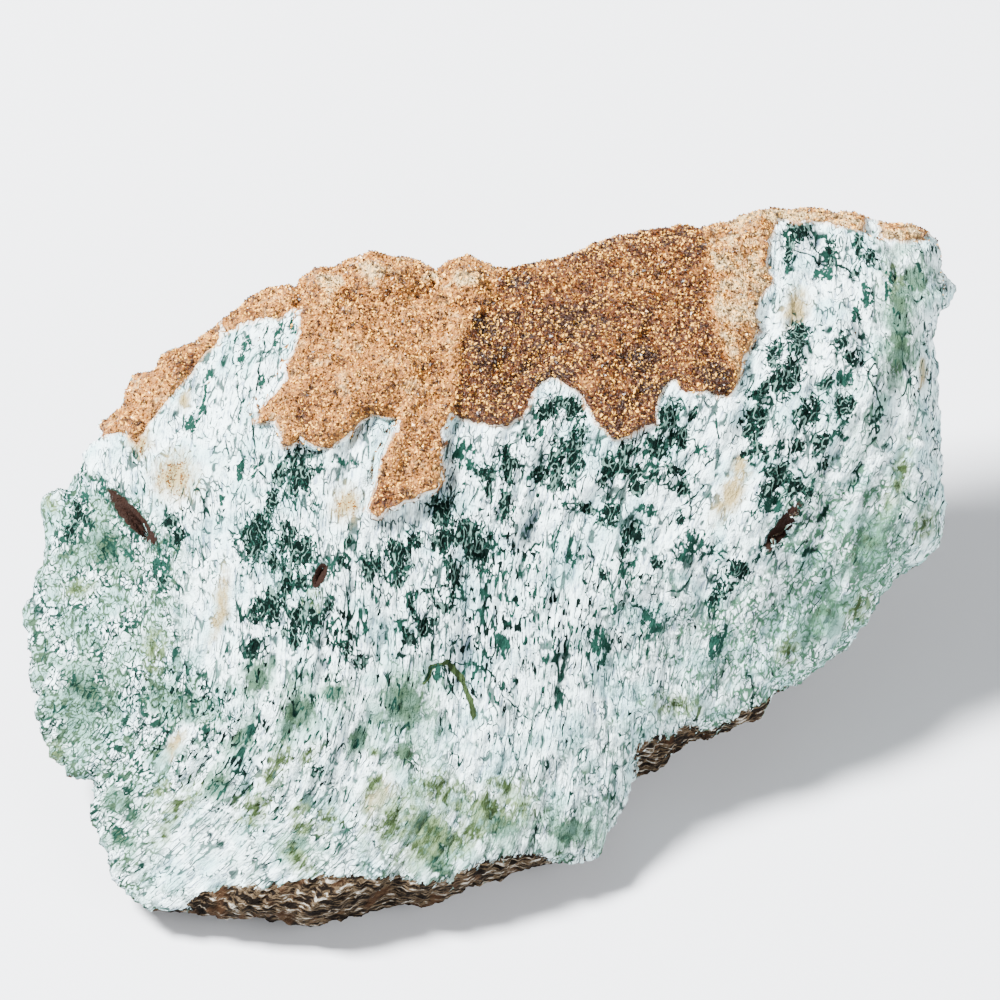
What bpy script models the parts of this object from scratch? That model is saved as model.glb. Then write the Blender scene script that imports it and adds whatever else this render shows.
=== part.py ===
"""A raw tree agate: one hand-sized piece of rough stone, broken out of its vein.

The vein's brown druzy rind lies on the top and wraps under the stone. The white and green broken face
slopes down towards -Y. Sizes here are in millimetres, and the object is made in metres.
"""

import math

import bmesh
import bpy
import numpy as np
from mathutils import Matrix, Vector, noise

MM = 0.001
TINY = 1e-6
NAME = "tree_agate"

# The uneven waves that roughen every surface: how fast the finer ones fade, and how much finer each is.
WAVE_FALL = 0.8
WAVE_STEP = 2.0
WAVE_OCTAVES = 3

# The broken face is drawn on a plane that leans back. On it a place is given by its distance across (X),
# up the plane, and out in front of it.
FACING = math.radians(50)
PLANE_HEIGHT = 30.5

# How finely the ball is divided before it is shaped, and the share of its faces kept afterwards.
BALL_CUTS = 63
KEEP_FACES = 0.19

# The rim of the stone, clockwise from the tip at its left end, as (across, up).
RIM = [
    (-67.0, 10.1), (-64.0, 10.5), (-63.4, 12.7), (-61.0, 16.6), (-59.1, 19.7), (-57.6, 21.4),
    (-55.5, 22.1), (-53.9, 24.2), (-53.1, 27.5), (-50.7, 28.7), (-48.1, 31.2), (-43.9, 32.7),
    (-41.1, 35.2), (-38.2, 37.2), (-35.4, 39.6), (-33.9, 40.6), (-30.6, 40.8), (-28.6, 39.9),
    (-27.7, 42.4), (-25.3, 43.3), (-22.9, 43.3), (-20.9, 44.8), (-17.8, 45.8), (-15.2, 44.8),
    (-11.9, 45.0), (-9.3, 43.3), (-7.7, 43.2), (-3.8, 45.0), (-1.1, 43.9), (3.2, 43.8),
    (9.5, 45.3), (15.2, 47.4), (18.7, 48.9), (23.3, 49.9), (29.0, 50.6), (35.4, 51.5),
    (38.8, 52.0), (41.2, 53.4), (44.6, 53.0), (48.6, 53.4), (52.7, 52.8), (56.7, 51.8),
    (60.8, 50.6), (64.8, 50.6), (67.1, 48.9), (67.7, 47.3), (67.4, 45.8), (70.0, 42.3),
    (69.7, 40.3), (67.4, 37.7), (67.1, 33.7), (67.4, 30.3), (67.1, 26.8), (67.6, 21.0),
    (67.7, 13.5), (68.3, 9.5), (68.3, 5.9), (66.3, 2.7), (64.0, 0.6), (61.6, -0.2),
    (59.3, -3.2), (58.1, -4.7), (56.7, -7.2), (54.6, -9.6), (52.5, -12.8), (50.0, -14.4),
    (46.8, -16.5), (43.6, -18.1), (41.7, -19.4), (40.6, -21.7), (38.8, -23.0), (35.2, -24.4),
    (30.9, -26.0), (27.8, -27.5), (23.5, -29.2), (21.7, -28.9), (20.9, -30.7), (19.9, -32.8),
    (19.1, -35.5), (17.8, -38.7), (16.9, -40.8), (16.7, -42.9), (13.8, -44.4), (6.6, -44.4),
    (1.5, -46.8), (-2.3, -47.4), (-4.2, -48.5), (-9.9, -49.7), (-14.7, -49.7), (-19.6, -51.2),
    (-27.7, -53.4), (-30.6, -52.8), (-33.9, -51.9), (-40.2, -52.4), (-44.0, -51.4), (-51.9, -51.4),
    (-53.6, -49.7), (-55.7, -47.3), (-56.9, -44.9), (-56.7, -43.0), (-57.9, -41.5), (-60.0, -35.4),
    (-58.7, -31.8), (-60.8, -31.2), (-64.0, -31.0), (-65.6, -28.6), (-66.8, -25.7), (-68.0, -20.9),
    (-67.5, -18.8), (-69.4, -17.1), (-69.9, -14.7), (-68.7, -10.4), (-70.5, -6.9), (-68.9, -5.6),
    (-68.5, -1.7), (-67.3, 2.1), (-66.8, 6.9),
]

# The rim's height above the surface that the stone lies on, at these turns in degrees from +X.
RIM_HEIGHTS = [
    (-9, 15.5), (2, 21), (8, 25), (17, 31), (24, 36), (31, 42), (38, 49), (45, 54), (52, 56), (65, 55.5),
    (86, 54), (111, 55), (131, 51), (147, 43), (160, 35), (171, 28), (185, 22), (192, 19), (201, 14.5),
    (209, 11), (217, 8), (225, 6), (243, 4.5), (272, 6.5), (291, 8), (304, 9.5), (325, 11), (338, 13),
    (351, 15.5), (362, 21),
]
EDGE_ROUND = 4.5

# How far the face stands out from the plane, as (across, up, out). The first rows are the level top.
FACE = [
    (-28.6, 35.4, 0.9), (-13.5, 39.9, -0.9), (1.5, 39.9, -2.2), (16.6, 44.4, -4.0), (31.6, 48.9, -7.1),
    (-28.6, 24.8, 7.3), (-13.5, 26.3, 7.3), (-9.0, 18.8, 10.4), (1.5, 27.8, 6.7), (16.6, 27.8, 6.7),
    (31.6, 32.4, 3.5), (37.6, 39.9, -2.9), (-33.0, 23.3, 5.9), (-15.0, 9.0, 12.4),
    (-28.6, 14.3, 9.3), (10.5, 15.8, 10.2), (-13.5, 0.8, 12.2), (-28.6, 0.8, 12.4), (-36.0, -5.3, 12.2),
    (-40.6, -20.3, 12.6), (-51.0, -42.9, 10.0), (-1.5, -8.3, 9.6), (10.5, -17.3, 8.8), (16.6, -29.3, 6.5),
    (-13.5, -23.3, 12.6), (-21.0, -38.4, 14.6), (1.5, -38.4, 12.5), (-36.0, -44.4, 14.2),
    (-10.5, -45.9, 14.2), (-27.0, -48.0, 15.0),
    (24.0, -5.3, 9.6), (31.6, 6.8, 9.6), (31.6, -8.3, 7.6), (40.6, -11.3, 4.5), (46.7, 3.8, 5.6),
    (46.7, 18.8, 5.0), (43.6, 39.9, -3.5), (54.2, 24.8, 1.5), (54.2, 39.9, -5.0), (54.2, 50.4, -11.0),
    (58.7, 9.8, 1.0), (60.2, 21.8, -1.0), (61.7, 39.9, -8.0), (55.7, -3.8, -1.0),
    (-43.6, 24.8, -1.0), (-36.0, 29.3, 1.8), (-46.7, 12.8, 3.5), (-39.0, 12.8, 7.5), (-55.7, 14.3, -3.0),
    (-58.7, 0.8, -0.5), (-48.2, -2.3, 6.0), (-64.7, -5.3, -3.0), (-55.7, -14.3, 3.0),
    (-64.7, -20.3, -0.5), (-46.7, -29.3, 8.5), (-57.2, -29.3, 3.0), (-54.2, -38.4, 6.5),
]

# The sides run from the rim down and in to the underside, which sinks to a flat foot. Insets and bulges
# are shares of the distance out from the middle, at these turns in degrees from +X.
BASE_MIDDLE = (-4.0, 3.0)
SIDE_SHARE = 0.55
SIDE_CURVE = 1.4
SIDE_INSETS = [(-20, 0.30), (15, 0.20), (40, 0.22), (75, 0.06), (110, 0.02), (145, 0.16), (175, 0.30),
               (200, 0.28), (235, 0.16), (290, 0.16), (340, 0.30)]
SIDE_BULGES = [(-30, 0.0), (10, 0.03), (50, 0.06), (85, 0.12), (130, 0.10), (165, 0.02), (200, 0.0),
               (330, 0.0)]
SIDE_SMOOTHING = 26
SMOOTH_STEPS = 11
SMOOTH_FROM = 0.2
SMOOTH_NOTCH_FROM = 0.45
SIDE_LUMP_SIZE = 19.0
SIDE_LUMP_RISE = 5.0
BREAK_ROOM = 0.4
FOOT_EDGE = 3.0
FOOT_SINK = 1.1
FOOT_SPREAD = 0.45
FOOT_CUTTER_SIZE = (300.0, 300.0, 20.0)

# Flat breaks on the hidden sides: the way each faces, and its distance from the middle of the stone.
BREAKS = [
    ((-0.70, 0.66, 0.12), 46.0), ((0.25, 0.96, 0.05), 45.0), ((0.90, 0.38, -0.12), 66.0),
    ((-0.93, 0.10, -0.36), 60.0), ((0.66, -0.60, -0.45), 45.0), ((-0.15, 0.80, -0.58), 51.0),
    ((-0.22, 0.95, 0.22), 42.5), ((0.55, 0.72, -0.42), 58.0), ((-0.72, 0.40, -0.56), 55.0),
]

# The edge of the raised brown rind on the top, clockwise, as (across, up).
RIND = [
    (-27.8, 38.8), (-28.3, 35.4), (-29.3, 31.9), (-30.4, 29.9), (-30.1, 27.5), (-31.0, 26.6),
    (-33.1, 24.4), (-35.5, 21.4), (-31.5, 22.1), (-31.0, 17.8), (-28.6, 19.6), (-26.5, 18.2),
    (-22.4, 19.0), (-20.2, 20.9), (-17.6, 23.0), (-13.1, 22.0), (-16.1, 15.5), (-16.4, 12.9),
    (-17.9, 8.9), (-16.7, 7.4), (-12.0, 10.1), (-9.2, 11.1), (-7.5, 12.9), (-7.2, 20.8),
    (-5.3, 22.9), (0.2, 21.1), (5.3, 23.2), (7.1, 27.7), (9.6, 28.0), (13.9, 26.0),
    (15.7, 21.7), (18.5, 19.1), (24.4, 21.7), (26.0, 27.7), (28.0, 28.0), (32.7, 26.6),
    (36.3, 25.9), (38.4, 31.9), (39.7, 37.7), (42.1, 42.3), (42.0, 48.0), (44.0, 53.5),
    (40.0, 60.0), (-24.0, 60.0),
]
RIND_RISE = 1.6
RIND_SLOPE = 1.0

# A second, lower ledge: the left half of the top stands above the right half along this line.
LEDGE = [(-6.0, 18.0), (-5.5, 24.0), (-4.5, 31.0), (-2.0, 36.0), (1.5, 41.0), (3.2, 46.0)]
LEDGE_RISE = 0.8

# Rounded lumps and hollows of the top, as (across, up, radius, rise). Each fades out past its radius.
LUMP_SKIRT = 1.6
LUMPS = [
    (-31.2, 39.4, 2.4, 1.0), (-24.1, 41.6, 2.8, 1.5), (-17.8, 43.4, 3.6, 1.8), (-12.0, 43.0, 2.8, 1.3),
    (-3.5, 43.0, 2.8, 1.4), (-15.0, 28.6, 2.4, 0.9), (-10.5, 27.4, 2.2, 0.8), (40.0, 51.5, 2.4, 1.0),
    (1.5, 26.3, 3.2, -0.9), (8.3, 29.3, 2.8, -0.8), (23.3, 30.9, 4.2, -1.0), (-21.8, 39.9, 2.4, -1.0),
    (66.0, 2.6, 3.6, 0.9), (51.5, -10.4, 3.2, 0.8),
]

# The way that the ridges of the broken face run, in degrees, near each place (across, up).
RIDGE_RUNS = [
    (-58.0, -5.0, 100), (-40.0, 20.0, 78), (-33.0, -8.0, 66), (-36.0, -30.0, 52), (0.0, -12.0, 110),
    (16.0, -28.0, 92), (26.0, 10.0, 36), (50.0, 4.0, 58), (62.0, 25.0, 90), (-20.0, -44.0, 40),
]
RIDGE_ZONE = 16.0
RIDGE_WIDTH = 4.6
RIDGE_LENGTH = 17.0
RIDGE_RISE = 1.1
RIDGE_OFFSET = 7.3
RIDGE_STEP = 5.1

# Unevenness over the whole stone. Near the rim all relief is less, so that the outline keeps its shape.
BROAD_SIZE = 24.0
BROAD_RISE = 1.3
BROAD_OFFSET = (3.1, 8.7, 1.9)
SMALL_SIZE = 8.5
SMALL_RISE = 0.45
RIM_BAND = 0.12
RIM_UNEVENNESS = 0.35
RIM_LUMPS = 0.4

# Narrow slots in the face: middle (across, up), length, width, turn in degrees from +X, and depth.
SLOTS = [
    (-54.0, 7.3, 11.0, 2.3, -49.0, 3.2),
    (43.8, 5.6, 9.0, 2.6, 52.0, 3.2),
    (-25.4, -1.6, 4.4, 1.9, 68.0, 2.4),
]

COLOUR = (0.62, 0.70, 0.66, 1.0)
ROUGHNESS = 0.75


def clear_scene():
    """Remove every object of the open scene."""
    for item in list(bpy.data.objects):
        bpy.data.objects.remove(item, do_unlink=True)


def new_collection(name):
    """Add a collection of this name to the scene."""
    collection = bpy.data.collections.new(name)
    bpy.context.scene.collection.children.link(collection)
    return collection


def from_plane(across, up, out):
    """The places in space of points given on the leaning plane."""
    return np.stack(
        (
            across,
            up * math.sin(FACING) - out * math.cos(FACING),
            up * math.cos(FACING) + out * math.sin(FACING) + PLANE_HEIGHT,
        ),
        axis=-1,
    )


def ease(value):
    """A smooth step from 0 to 1 as value goes from 0 to 1."""
    value = np.clip(value, 0.0, 1.0)
    return value * value * (3.0 - 2.0 * value)


def waves_at(points):
    """Soft uneven waves, about -1 to 1, at these points."""
    return np.array([noise.fractal(Vector(point), WAVE_FALL, WAVE_STEP, WAVE_OCTAVES) for point in points])


def read_along(table, turns):
    """Values of a (turn in degrees, value) table at these turns in radians."""
    degrees = np.degrees(turns)
    first = table[0][0]
    degrees = (degrees - first) % 360.0 + first
    marks, values = zip(*table)
    return np.interp(degrees, marks, values)


def rim_radius(turns):
    """The distance from the plane's centre out to the rim, at each turn."""
    points = np.array(RIM[::-1])
    angles = np.arctan2(points[:, 1], points[:, 0]) % (2 * math.pi)
    order = np.argsort(angles)
    points, angles = points[order], angles[order]
    turns = turns % (2 * math.pi)
    after = np.searchsorted(angles, turns) % len(points)
    start, end = points[after - 1], points[after]
    way = np.stack((np.cos(turns), np.sin(turns)), axis=-1)
    side = end - start
    cross_side = start[:, 0] * side[:, 1] - start[:, 1] * side[:, 0]
    cross_way = way[:, 0] * side[:, 1] - way[:, 1] * side[:, 0]
    return cross_side / cross_way


def plate_through(table):
    """A smooth function of (across, up) through every (across, up, out), as a sprung plate would lie."""
    table = np.array(table, dtype=float)
    places, heights = table[:, :2], table[:, 2]

    def bend(points):
        gaps = np.sum((points[:, None, :] - places[None, :, :]) ** 2, axis=-1)
        return gaps * np.log(gaps + TINY)

    def flat(points):
        return np.column_stack((np.ones(len(points)), points))

    count = len(table)
    system = np.zeros((count + 3, count + 3))
    system[:count, :count] = bend(places)
    system[:count, count:] = flat(places)
    system[count:, :count] = flat(places).T
    weights = np.linalg.solve(system, np.concatenate((heights, np.zeros(3))))

    def height(across, up):
        points = np.column_stack((across, up))
        return bend(points) @ weights[:count] + flat(points) @ weights[count:]

    return height


def distance_to_loop(across, up, loop):
    """The distance from each point to a closed loop through the given corners."""
    points = np.column_stack((across, up))
    corners = np.array(loop, dtype=float)
    nearest = np.full(len(points), np.inf)
    for start, end in zip(corners, np.roll(corners, -1, axis=0)):
        side = end - start
        along = np.clip((points - start) @ side / (side @ side), 0.0, 1.0)
        gap = np.linalg.norm(points - start - along[:, None] * side, axis=1)
        nearest = np.minimum(nearest, gap)
    return nearest


def inside_loop(across, up, loop):
    """True for each point that lies inside a closed loop."""
    inside = np.zeros(len(across), dtype=bool)
    for (across_a, up_a), (across_b, up_b) in zip(loop, loop[1:] + loop[:1]):
        if up_a == up_b:
            continue
        spans = (up < up_a) != (up < up_b)
        crossing = across_a + (up - up_a) * (across_b - across_a) / (up_b - up_a)
        inside ^= spans & (across < crossing)
    return inside


def rind_rise(across, up):
    """How far the rind stands above the broken face, with the ledge along its middle."""
    gap = distance_to_loop(across, up, RIND)
    gap = np.where(inside_loop(across, up, RIND), gap, -gap)
    on_rind = ease(gap / RIND_SLOPE + 0.5)
    line_across, line_up = zip(*LEDGE)
    ledge_across = np.interp(up, line_up, line_across)
    on_ledge = ease((ledge_across - across) / RIND_SLOPE + 0.5)
    return on_rind * (RIND_RISE + LEDGE_RISE * on_ledge)


def lump_rise(across, up):
    """The rise of the separate lumps and hollows."""
    rise = np.zeros(len(across))
    for lump_across, lump_up, radius, height in LUMPS:
        gap = np.hypot(across - lump_across, up - lump_up) / radius
        rise += height * ease(LUMP_SKIRT - gap)
    return rise


def ridge_rise(across, up):
    """Long low ridges, which run the way that the stone broke near each place."""
    total = np.zeros(len(across))
    share = np.full(len(across), TINY)
    for number, (near_across, near_up, run) in enumerate(RIDGE_RUNS):
        turn = math.radians(run)
        along = across * math.cos(turn) + up * math.sin(turn)
        over = up * math.cos(turn) - across * math.sin(turn)
        layer = np.full(len(across), RIDGE_OFFSET + RIDGE_STEP * number)
        waves = waves_at(np.column_stack((over / RIDGE_WIDTH, along / RIDGE_LENGTH, layer)))
        weight = np.exp(-((across - near_across) ** 2 + (up - near_up) ** 2) / RIDGE_ZONE**2)
        total += weight * waves
        share += weight
    return RIDGE_RISE * total / share


def shape_front(turns, reach):
    """The top and the broken face: reach is 0 in the middle and 1 at the rim."""
    radius = rim_radius(turns)
    across = reach * radius * np.cos(turns)
    up = reach * radius * np.sin(turns)
    rim_up = radius * np.sin(turns)
    rim_lift = read_along(RIM_HEIGHTS, turns) - PLANE_HEIGHT - rim_up * math.cos(FACING)
    rim_out = rim_lift / math.sin(FACING)
    face_out = plate_through(FACE)(across, up)
    inward = np.clip((1.0 - reach) * radius / EDGE_ROUND, 0.0, 1.0)
    rounded = np.sqrt(1.0 - (1.0 - inward) ** 2)
    return from_plane(across, up, rim_out + (face_out - rim_out) * rounded)


def rim_below(turns, reach):
    """The rim as the sides carry it down: its teeth fade out, but the sides stay inside its notches."""
    at_rim = np.ones(len(turns))
    jagged = shape_front(turns, at_rim)
    steps = np.radians(np.linspace(-SIDE_SMOOTHING, SIDE_SMOOTHING, SMOOTH_STEPS))
    smooth = np.mean([shape_front(turns + step, at_rim) for step in steps], axis=0)
    middle = np.array(BASE_MIDDLE)
    jagged_reach = np.linalg.norm(jagged[:, :2] - middle, axis=1)
    smooth_reach = np.linalg.norm(smooth[:, :2] - middle, axis=1)
    drawn_in = np.minimum(1.0, jagged_reach / smooth_reach)
    drawn_in = drawn_in + (1.0 - drawn_in) * ease(reach / SMOOTH_NOTCH_FROM)
    smooth[:, :2] = middle + (smooth[:, :2] - middle) * drawn_in[:, None]
    return jagged + (smooth - jagged) * ease(reach / SMOOTH_FROM)[:, None]


def shape_back(turns, reach):
    """The sides and the underside: reach is 0 at the rim and 1 under the middle."""
    rim = rim_below(turns, reach)
    middle = np.array(BASE_MIDDLE)
    down = np.clip(reach / SIDE_SHARE, 0.0, 1.0)
    under = np.clip((reach - SIDE_SHARE) / (1.0 - SIDE_SHARE), 0.0, 1.0)
    scale = 1.0 - read_along(SIDE_INSETS, turns) * down**SIDE_CURVE
    scale = scale + read_along(SIDE_BULGES, turns) * np.sin(math.pi * down)
    scale = scale * (1.0 - under)
    height = rim[:, 2] + (FOOT_EDGE - rim[:, 2]) * down
    height = height - (FOOT_EDGE + FOOT_SINK) * ease(under / FOOT_SPREAD)
    plan = middle + (rim[:, :2] - middle) * scale[:, None]
    room = ease(reach / SMOOTH_FROM) * (1.0 - under) * rim[:, 2] / np.max(rim[:, 2])
    return roughen_sides(np.column_stack((plan, height)), room)


def roughen_sides(points, room):
    """Push the sides in and out where there is room, then press what stands past each flat break onto it."""
    middle = np.array((*BASE_MIDDLE, PLANE_HEIGHT))
    outward = points - middle
    outward[:, 2] = 0.0
    outward = outward / (np.linalg.norm(outward, axis=1)[:, None] + TINY)
    swell = SIDE_LUMP_RISE * waves_at(points / SIDE_LUMP_SIZE)
    points = points + outward * (swell * room)[:, None]
    share = ease(room / BREAK_ROOM)
    for facing, distance in BREAKS:
        way = np.array(facing) / np.linalg.norm(facing)
        past = np.clip((points - middle) @ way - distance, 0.0, None)
        points = points - (past * share)[:, None] * way
    return points


def ball_mesh():
    """An evenly divided ball of radius 1, from a cube."""
    ball = bmesh.new()
    bmesh.ops.create_cube(ball, size=2.0)
    bmesh.ops.subdivide_edges(ball, edges=ball.edges[:], cuts=BALL_CUTS, use_grid_fill=True)
    for vert in ball.verts:
        spread = [math.tan(value * math.pi / 4.0) for value in vert.co]
        vert.co = Vector(spread).normalized()
    return ball


def relief(points, tilt):
    """How far each point is pushed out to make the stone's lumps, ledges, hollows and ridges."""
    across = points[:, 0]
    up = points[:, 1] * math.sin(FACING) + (points[:, 2] - PLANE_HEIGHT) * math.cos(FACING)
    inner = ease(np.abs(tilt - 1.0) / RIM_BAND)
    broad = BROAD_RISE * waves_at(points / BROAD_SIZE + np.array(BROAD_OFFSET))
    small = SMALL_RISE * waves_at(points / SMALL_SIZE)
    rise = (broad + small) * (RIM_UNEVENNESS + (1.0 - RIM_UNEVENNESS) * inner)
    on_front = tilt <= 1.0 + TINY
    rise += on_front * inner * (rind_rise(across, up) + ridge_rise(across, up))
    rise += on_front * (RIM_LUMPS + (1.0 - RIM_LUMPS) * inner) * lump_rise(across, up)
    return rise


def agate_mesh():
    """The whole stone as one closed mesh, in millimetres."""
    ball = ball_mesh()
    places = np.array([vert.co[:] for vert in ball.verts])
    tilt = np.arccos(np.clip(places[:, 2], -1.0, 1.0)) / (math.pi / 2.0)
    turns = np.arctan2(places[:, 1], places[:, 0])
    front = tilt <= 1.0 + TINY
    points = np.empty_like(places)
    points[front] = shape_front(turns[front], np.minimum(tilt[front], 1.0))
    points[~front] = shape_back(turns[~front], tilt[~front] - 1.0)
    for vert, point in zip(ball.verts, points):
        vert.co = point
    ball.normal_update()
    for vert, amount in zip(ball.verts, relief(points, tilt)):
        vert.co = vert.co + vert.normal * float(amount)
    return ball


def add_agate(collection):
    """Add the stone in metres, with the middle of its outline over the origin."""
    stone = agate_mesh()
    places = np.array([vert.co[:] for vert in stone.verts])
    middle = (places.min(axis=0) + places.max(axis=0)) / 2.0
    centre = Vector((middle[0], middle[1], 0.0))
    for vert in stone.verts:
        vert.co = (vert.co - centre) * MM
    bmesh.ops.triangulate(stone, faces=stone.faces[:])
    mesh = bpy.data.meshes.new(NAME)
    stone.to_mesh(mesh)
    stone.free()
    agate = bpy.data.objects.new(NAME, mesh)
    collection.objects.link(agate)
    thin = agate.modifiers.new("fewer_faces", "DECIMATE")
    thin.ratio = KEEP_FACES
    mesh.materials.append(stone_material())
    return agate, centre


def stone_material():
    """Pale green and white chalcedony, dull where it is broken."""
    material = bpy.data.materials.new("tree_agate_stone")
    material.use_nodes = True
    shader = material.node_tree.nodes["Principled BSDF"]
    shader.inputs["Base Color"].default_value = COLOUR
    shader.inputs["Roughness"].default_value = ROUGHNESS
    shader.inputs["Metallic"].default_value = 0.0
    return material


def add_cutter(collection, agate, name, mesh):
    """Add a hidden cutter, and take it away from the stone."""
    data = bpy.data.meshes.new(name)
    mesh.to_mesh(data)
    mesh.free()
    cutter = bpy.data.objects.new(name, data)
    cutter.hide_render = True
    cutter.display_type = "WIRE"
    collection.objects.link(cutter)
    cut = agate.modifiers.new(name, "BOOLEAN")
    cut.operation = "DIFFERENCE"
    cut.solver = "EXACT"
    cut.object = cutter


def add_foot_cutter(collection, agate):
    """Cut the underside off flat at the height that the stone rests on."""
    size = Vector(FOOT_CUTTER_SIZE) * MM
    slab = bmesh.new()
    bmesh.ops.create_cube(slab, size=1.0)
    bmesh.ops.scale(slab, vec=size, verts=slab.verts[:])
    bmesh.ops.translate(slab, vec=(0.0, 0.0, -size.z / 2.0), verts=slab.verts[:])
    add_cutter(collection, agate, "foot_cutter", slab)


def add_slot_cutters(collection, agate, centre):
    """Cut the narrow slots into the face, each with a long rounded cutter."""
    face_out = plate_through(FACE)
    to_plane = Matrix.Rotation(math.pi / 2.0 - FACING, 4, "X")
    for number, (across, up, length, width, run, depth) in enumerate(SLOTS, start=1):
        out = face_out(np.array([across]), np.array([up]))
        place = Vector(from_plane(np.array([across]), np.array([up]), out)[0]) - centre
        size = Matrix.Diagonal((length / 2.0, width / 2.0, depth, 1.0))
        turn = Matrix.Rotation(math.radians(run), 4, "Z")
        slot = bmesh.new()
        bmesh.ops.create_icosphere(slot, subdivisions=2, radius=1.0)
        matrix = Matrix.Scale(MM, 4) @ Matrix.Translation(place) @ to_plane @ turn @ size
        bmesh.ops.transform(slot, matrix=matrix, verts=slot.verts[:])
        add_cutter(collection, agate, f"slot_cutter_{number}", slot)


def main():
    """Build the stone with its cutters."""
    clear_scene()
    parts = new_collection("raw_tree_agate")
    cutters = new_collection("cutters")
    agate, centre = add_agate(parts)
    add_slot_cutters(cutters, agate, centre)
    add_foot_cutter(cutters, agate)


main()
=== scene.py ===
import math

import bmesh
import bpy
import numpy as np
from bpy.props import FloatProperty, FloatVectorProperty, IntProperty, PointerProperty
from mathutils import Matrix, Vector, noise


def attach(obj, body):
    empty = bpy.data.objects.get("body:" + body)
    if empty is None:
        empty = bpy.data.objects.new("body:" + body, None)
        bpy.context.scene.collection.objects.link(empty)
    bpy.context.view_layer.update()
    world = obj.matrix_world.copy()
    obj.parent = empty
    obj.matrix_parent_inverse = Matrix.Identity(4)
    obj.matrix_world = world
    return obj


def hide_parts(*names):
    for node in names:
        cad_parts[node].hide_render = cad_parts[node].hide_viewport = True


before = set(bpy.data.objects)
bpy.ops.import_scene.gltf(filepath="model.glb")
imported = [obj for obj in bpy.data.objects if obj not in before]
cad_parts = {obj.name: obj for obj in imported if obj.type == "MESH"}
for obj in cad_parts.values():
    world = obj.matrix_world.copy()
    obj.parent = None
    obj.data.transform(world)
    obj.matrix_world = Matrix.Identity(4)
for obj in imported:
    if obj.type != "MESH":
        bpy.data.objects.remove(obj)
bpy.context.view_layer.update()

bl_info = {
    "name": "Raw Tree Agate",
    "version": (1, 0, 0),
    "blender": (4, 5, 0),
    "location": "3D View > Sidebar > Tree Agate",
    "description": "Gives the packed model of a raw tree agate its broken surface, rind and colours",
    "category": "Object",
}

MM = 0.001
TINY = 1e-6
NODE = "tree_agate"
BODY = "root"
STONE_POINTS = 97000
SMOOTH_PASSES = 14
BUMP_HEIGHT = 0.28 * MM
QUARTZ_IOR = 1.54
FLOOR_COLOUR = (206, 208, 212)
SKY_COLOUR = (0.92, 0.95, 1.0)
SKY_STRENGTH = 0.34
CAMERA_AIM = (1.83, 6.60, 36.8)

# Depths and distances that the material reads go no further than this.
FAR = 3.0

# Everything on the stone is placed on the plane of its broken face, which leans back. A place there is
# (across, up), in millimetres from this origin, and "out" is the distance in front of the plane.
FACING = math.radians(50)
PLANE_ORIGIN = (0.32, -0.90, 30.5)
PLANE_WAY = (0.0, -math.cos(FACING), math.sin(FACING))

# The way that the stone broke near each place, as (across, up, degrees from level).
RUNS = [
    (-36.1, 32.4, 78), (-39.1, -5.3, 88), (-28.6, -8.3, 66), (-36.1, -23.3, 55), (-51.2, -38.4, 47),
    (-25.6, -26.3, 55), (-1.5, -5.3, 110), (7.5, -20.3, 112), (10.5, -5.3, 105), (16.6, -29.3, 92),
    (61.7, 24.8, 92), (57.2, 6.8, 60), (51.2, -3.8, 58), (43.6, 9.8, 60), (22.6, 14.3, 50),
    (-58.7, -5.3, 108), (-30.0, 15.0, 80), (4.0, 14.0, 88), (48.0, 28.0, 68), (55.0, 46.0, 95),
    (-20.0, -45.0, 30), (-44.0, 10.0, 84), (-12.0, 2.0, 84), (30.0, -8.0, 66), (-10.0, -34.0, 50),
]
RUN_REACH = 10.0
RUN_TERMS = 6

# The raised brown rind, one loop for each patch of it that shows.
TOP_RIND = [
    (-27.8, 38.8), (-28.3, 35.4), (-29.3, 31.9), (-30.4, 29.9), (-30.1, 27.5), (-31.0, 26.6),
    (-33.1, 24.4), (-35.5, 21.4), (-31.5, 22.1), (-31.0, 17.8), (-29.3, 18.4), (-28.6, 19.6),
    (-26.5, 18.2), (-24.8, 17.6), (-22.4, 19.0), (-20.2, 20.9), (-17.6, 23.0), (-16.4, 22.6),
    (-13.1, 22.0), (-14.4, 18.4), (-16.1, 15.5), (-16.4, 12.9), (-17.9, 8.9), (-18.4, 8.3),
    (-16.7, 7.4), (-15.1, 8.6), (-12.0, 10.1), (-9.2, 11.1), (-7.5, 12.9), (-7.4, 15.8), (-7.2, 20.8),
    (-6.3, 22.6), (-5.3, 22.9), (-2.4, 22.0), (0.2, 21.1), (2.4, 21.4), (5.3, 23.2), (6.0, 25.4),
    (7.1, 27.7), (9.6, 28.0), (12.2, 27.2), (14.0, 26.0), (15.1, 23.2), (15.7, 21.7), (17.5, 20.8),
    (18.5, 19.1), (20.6, 19.4), (22.6, 20.8), (24.4, 21.7), (24.8, 24.2), (26.0, 27.7), (28.0, 28.0),
    (29.2, 26.6), (32.7, 26.2), (34.5, 25.6), (36.3, 25.9), (37.3, 28.4), (38.4, 31.9), (40.2, 34.8),
    (39.7, 37.6), (40.5, 40.5), (42.1, 42.3), (41.5, 45.4), (41.8, 48.0), (43.0, 51.8), (44.5, 54.0),
    (44.0, 62.0), (-24.0, 62.0),
]
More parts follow.
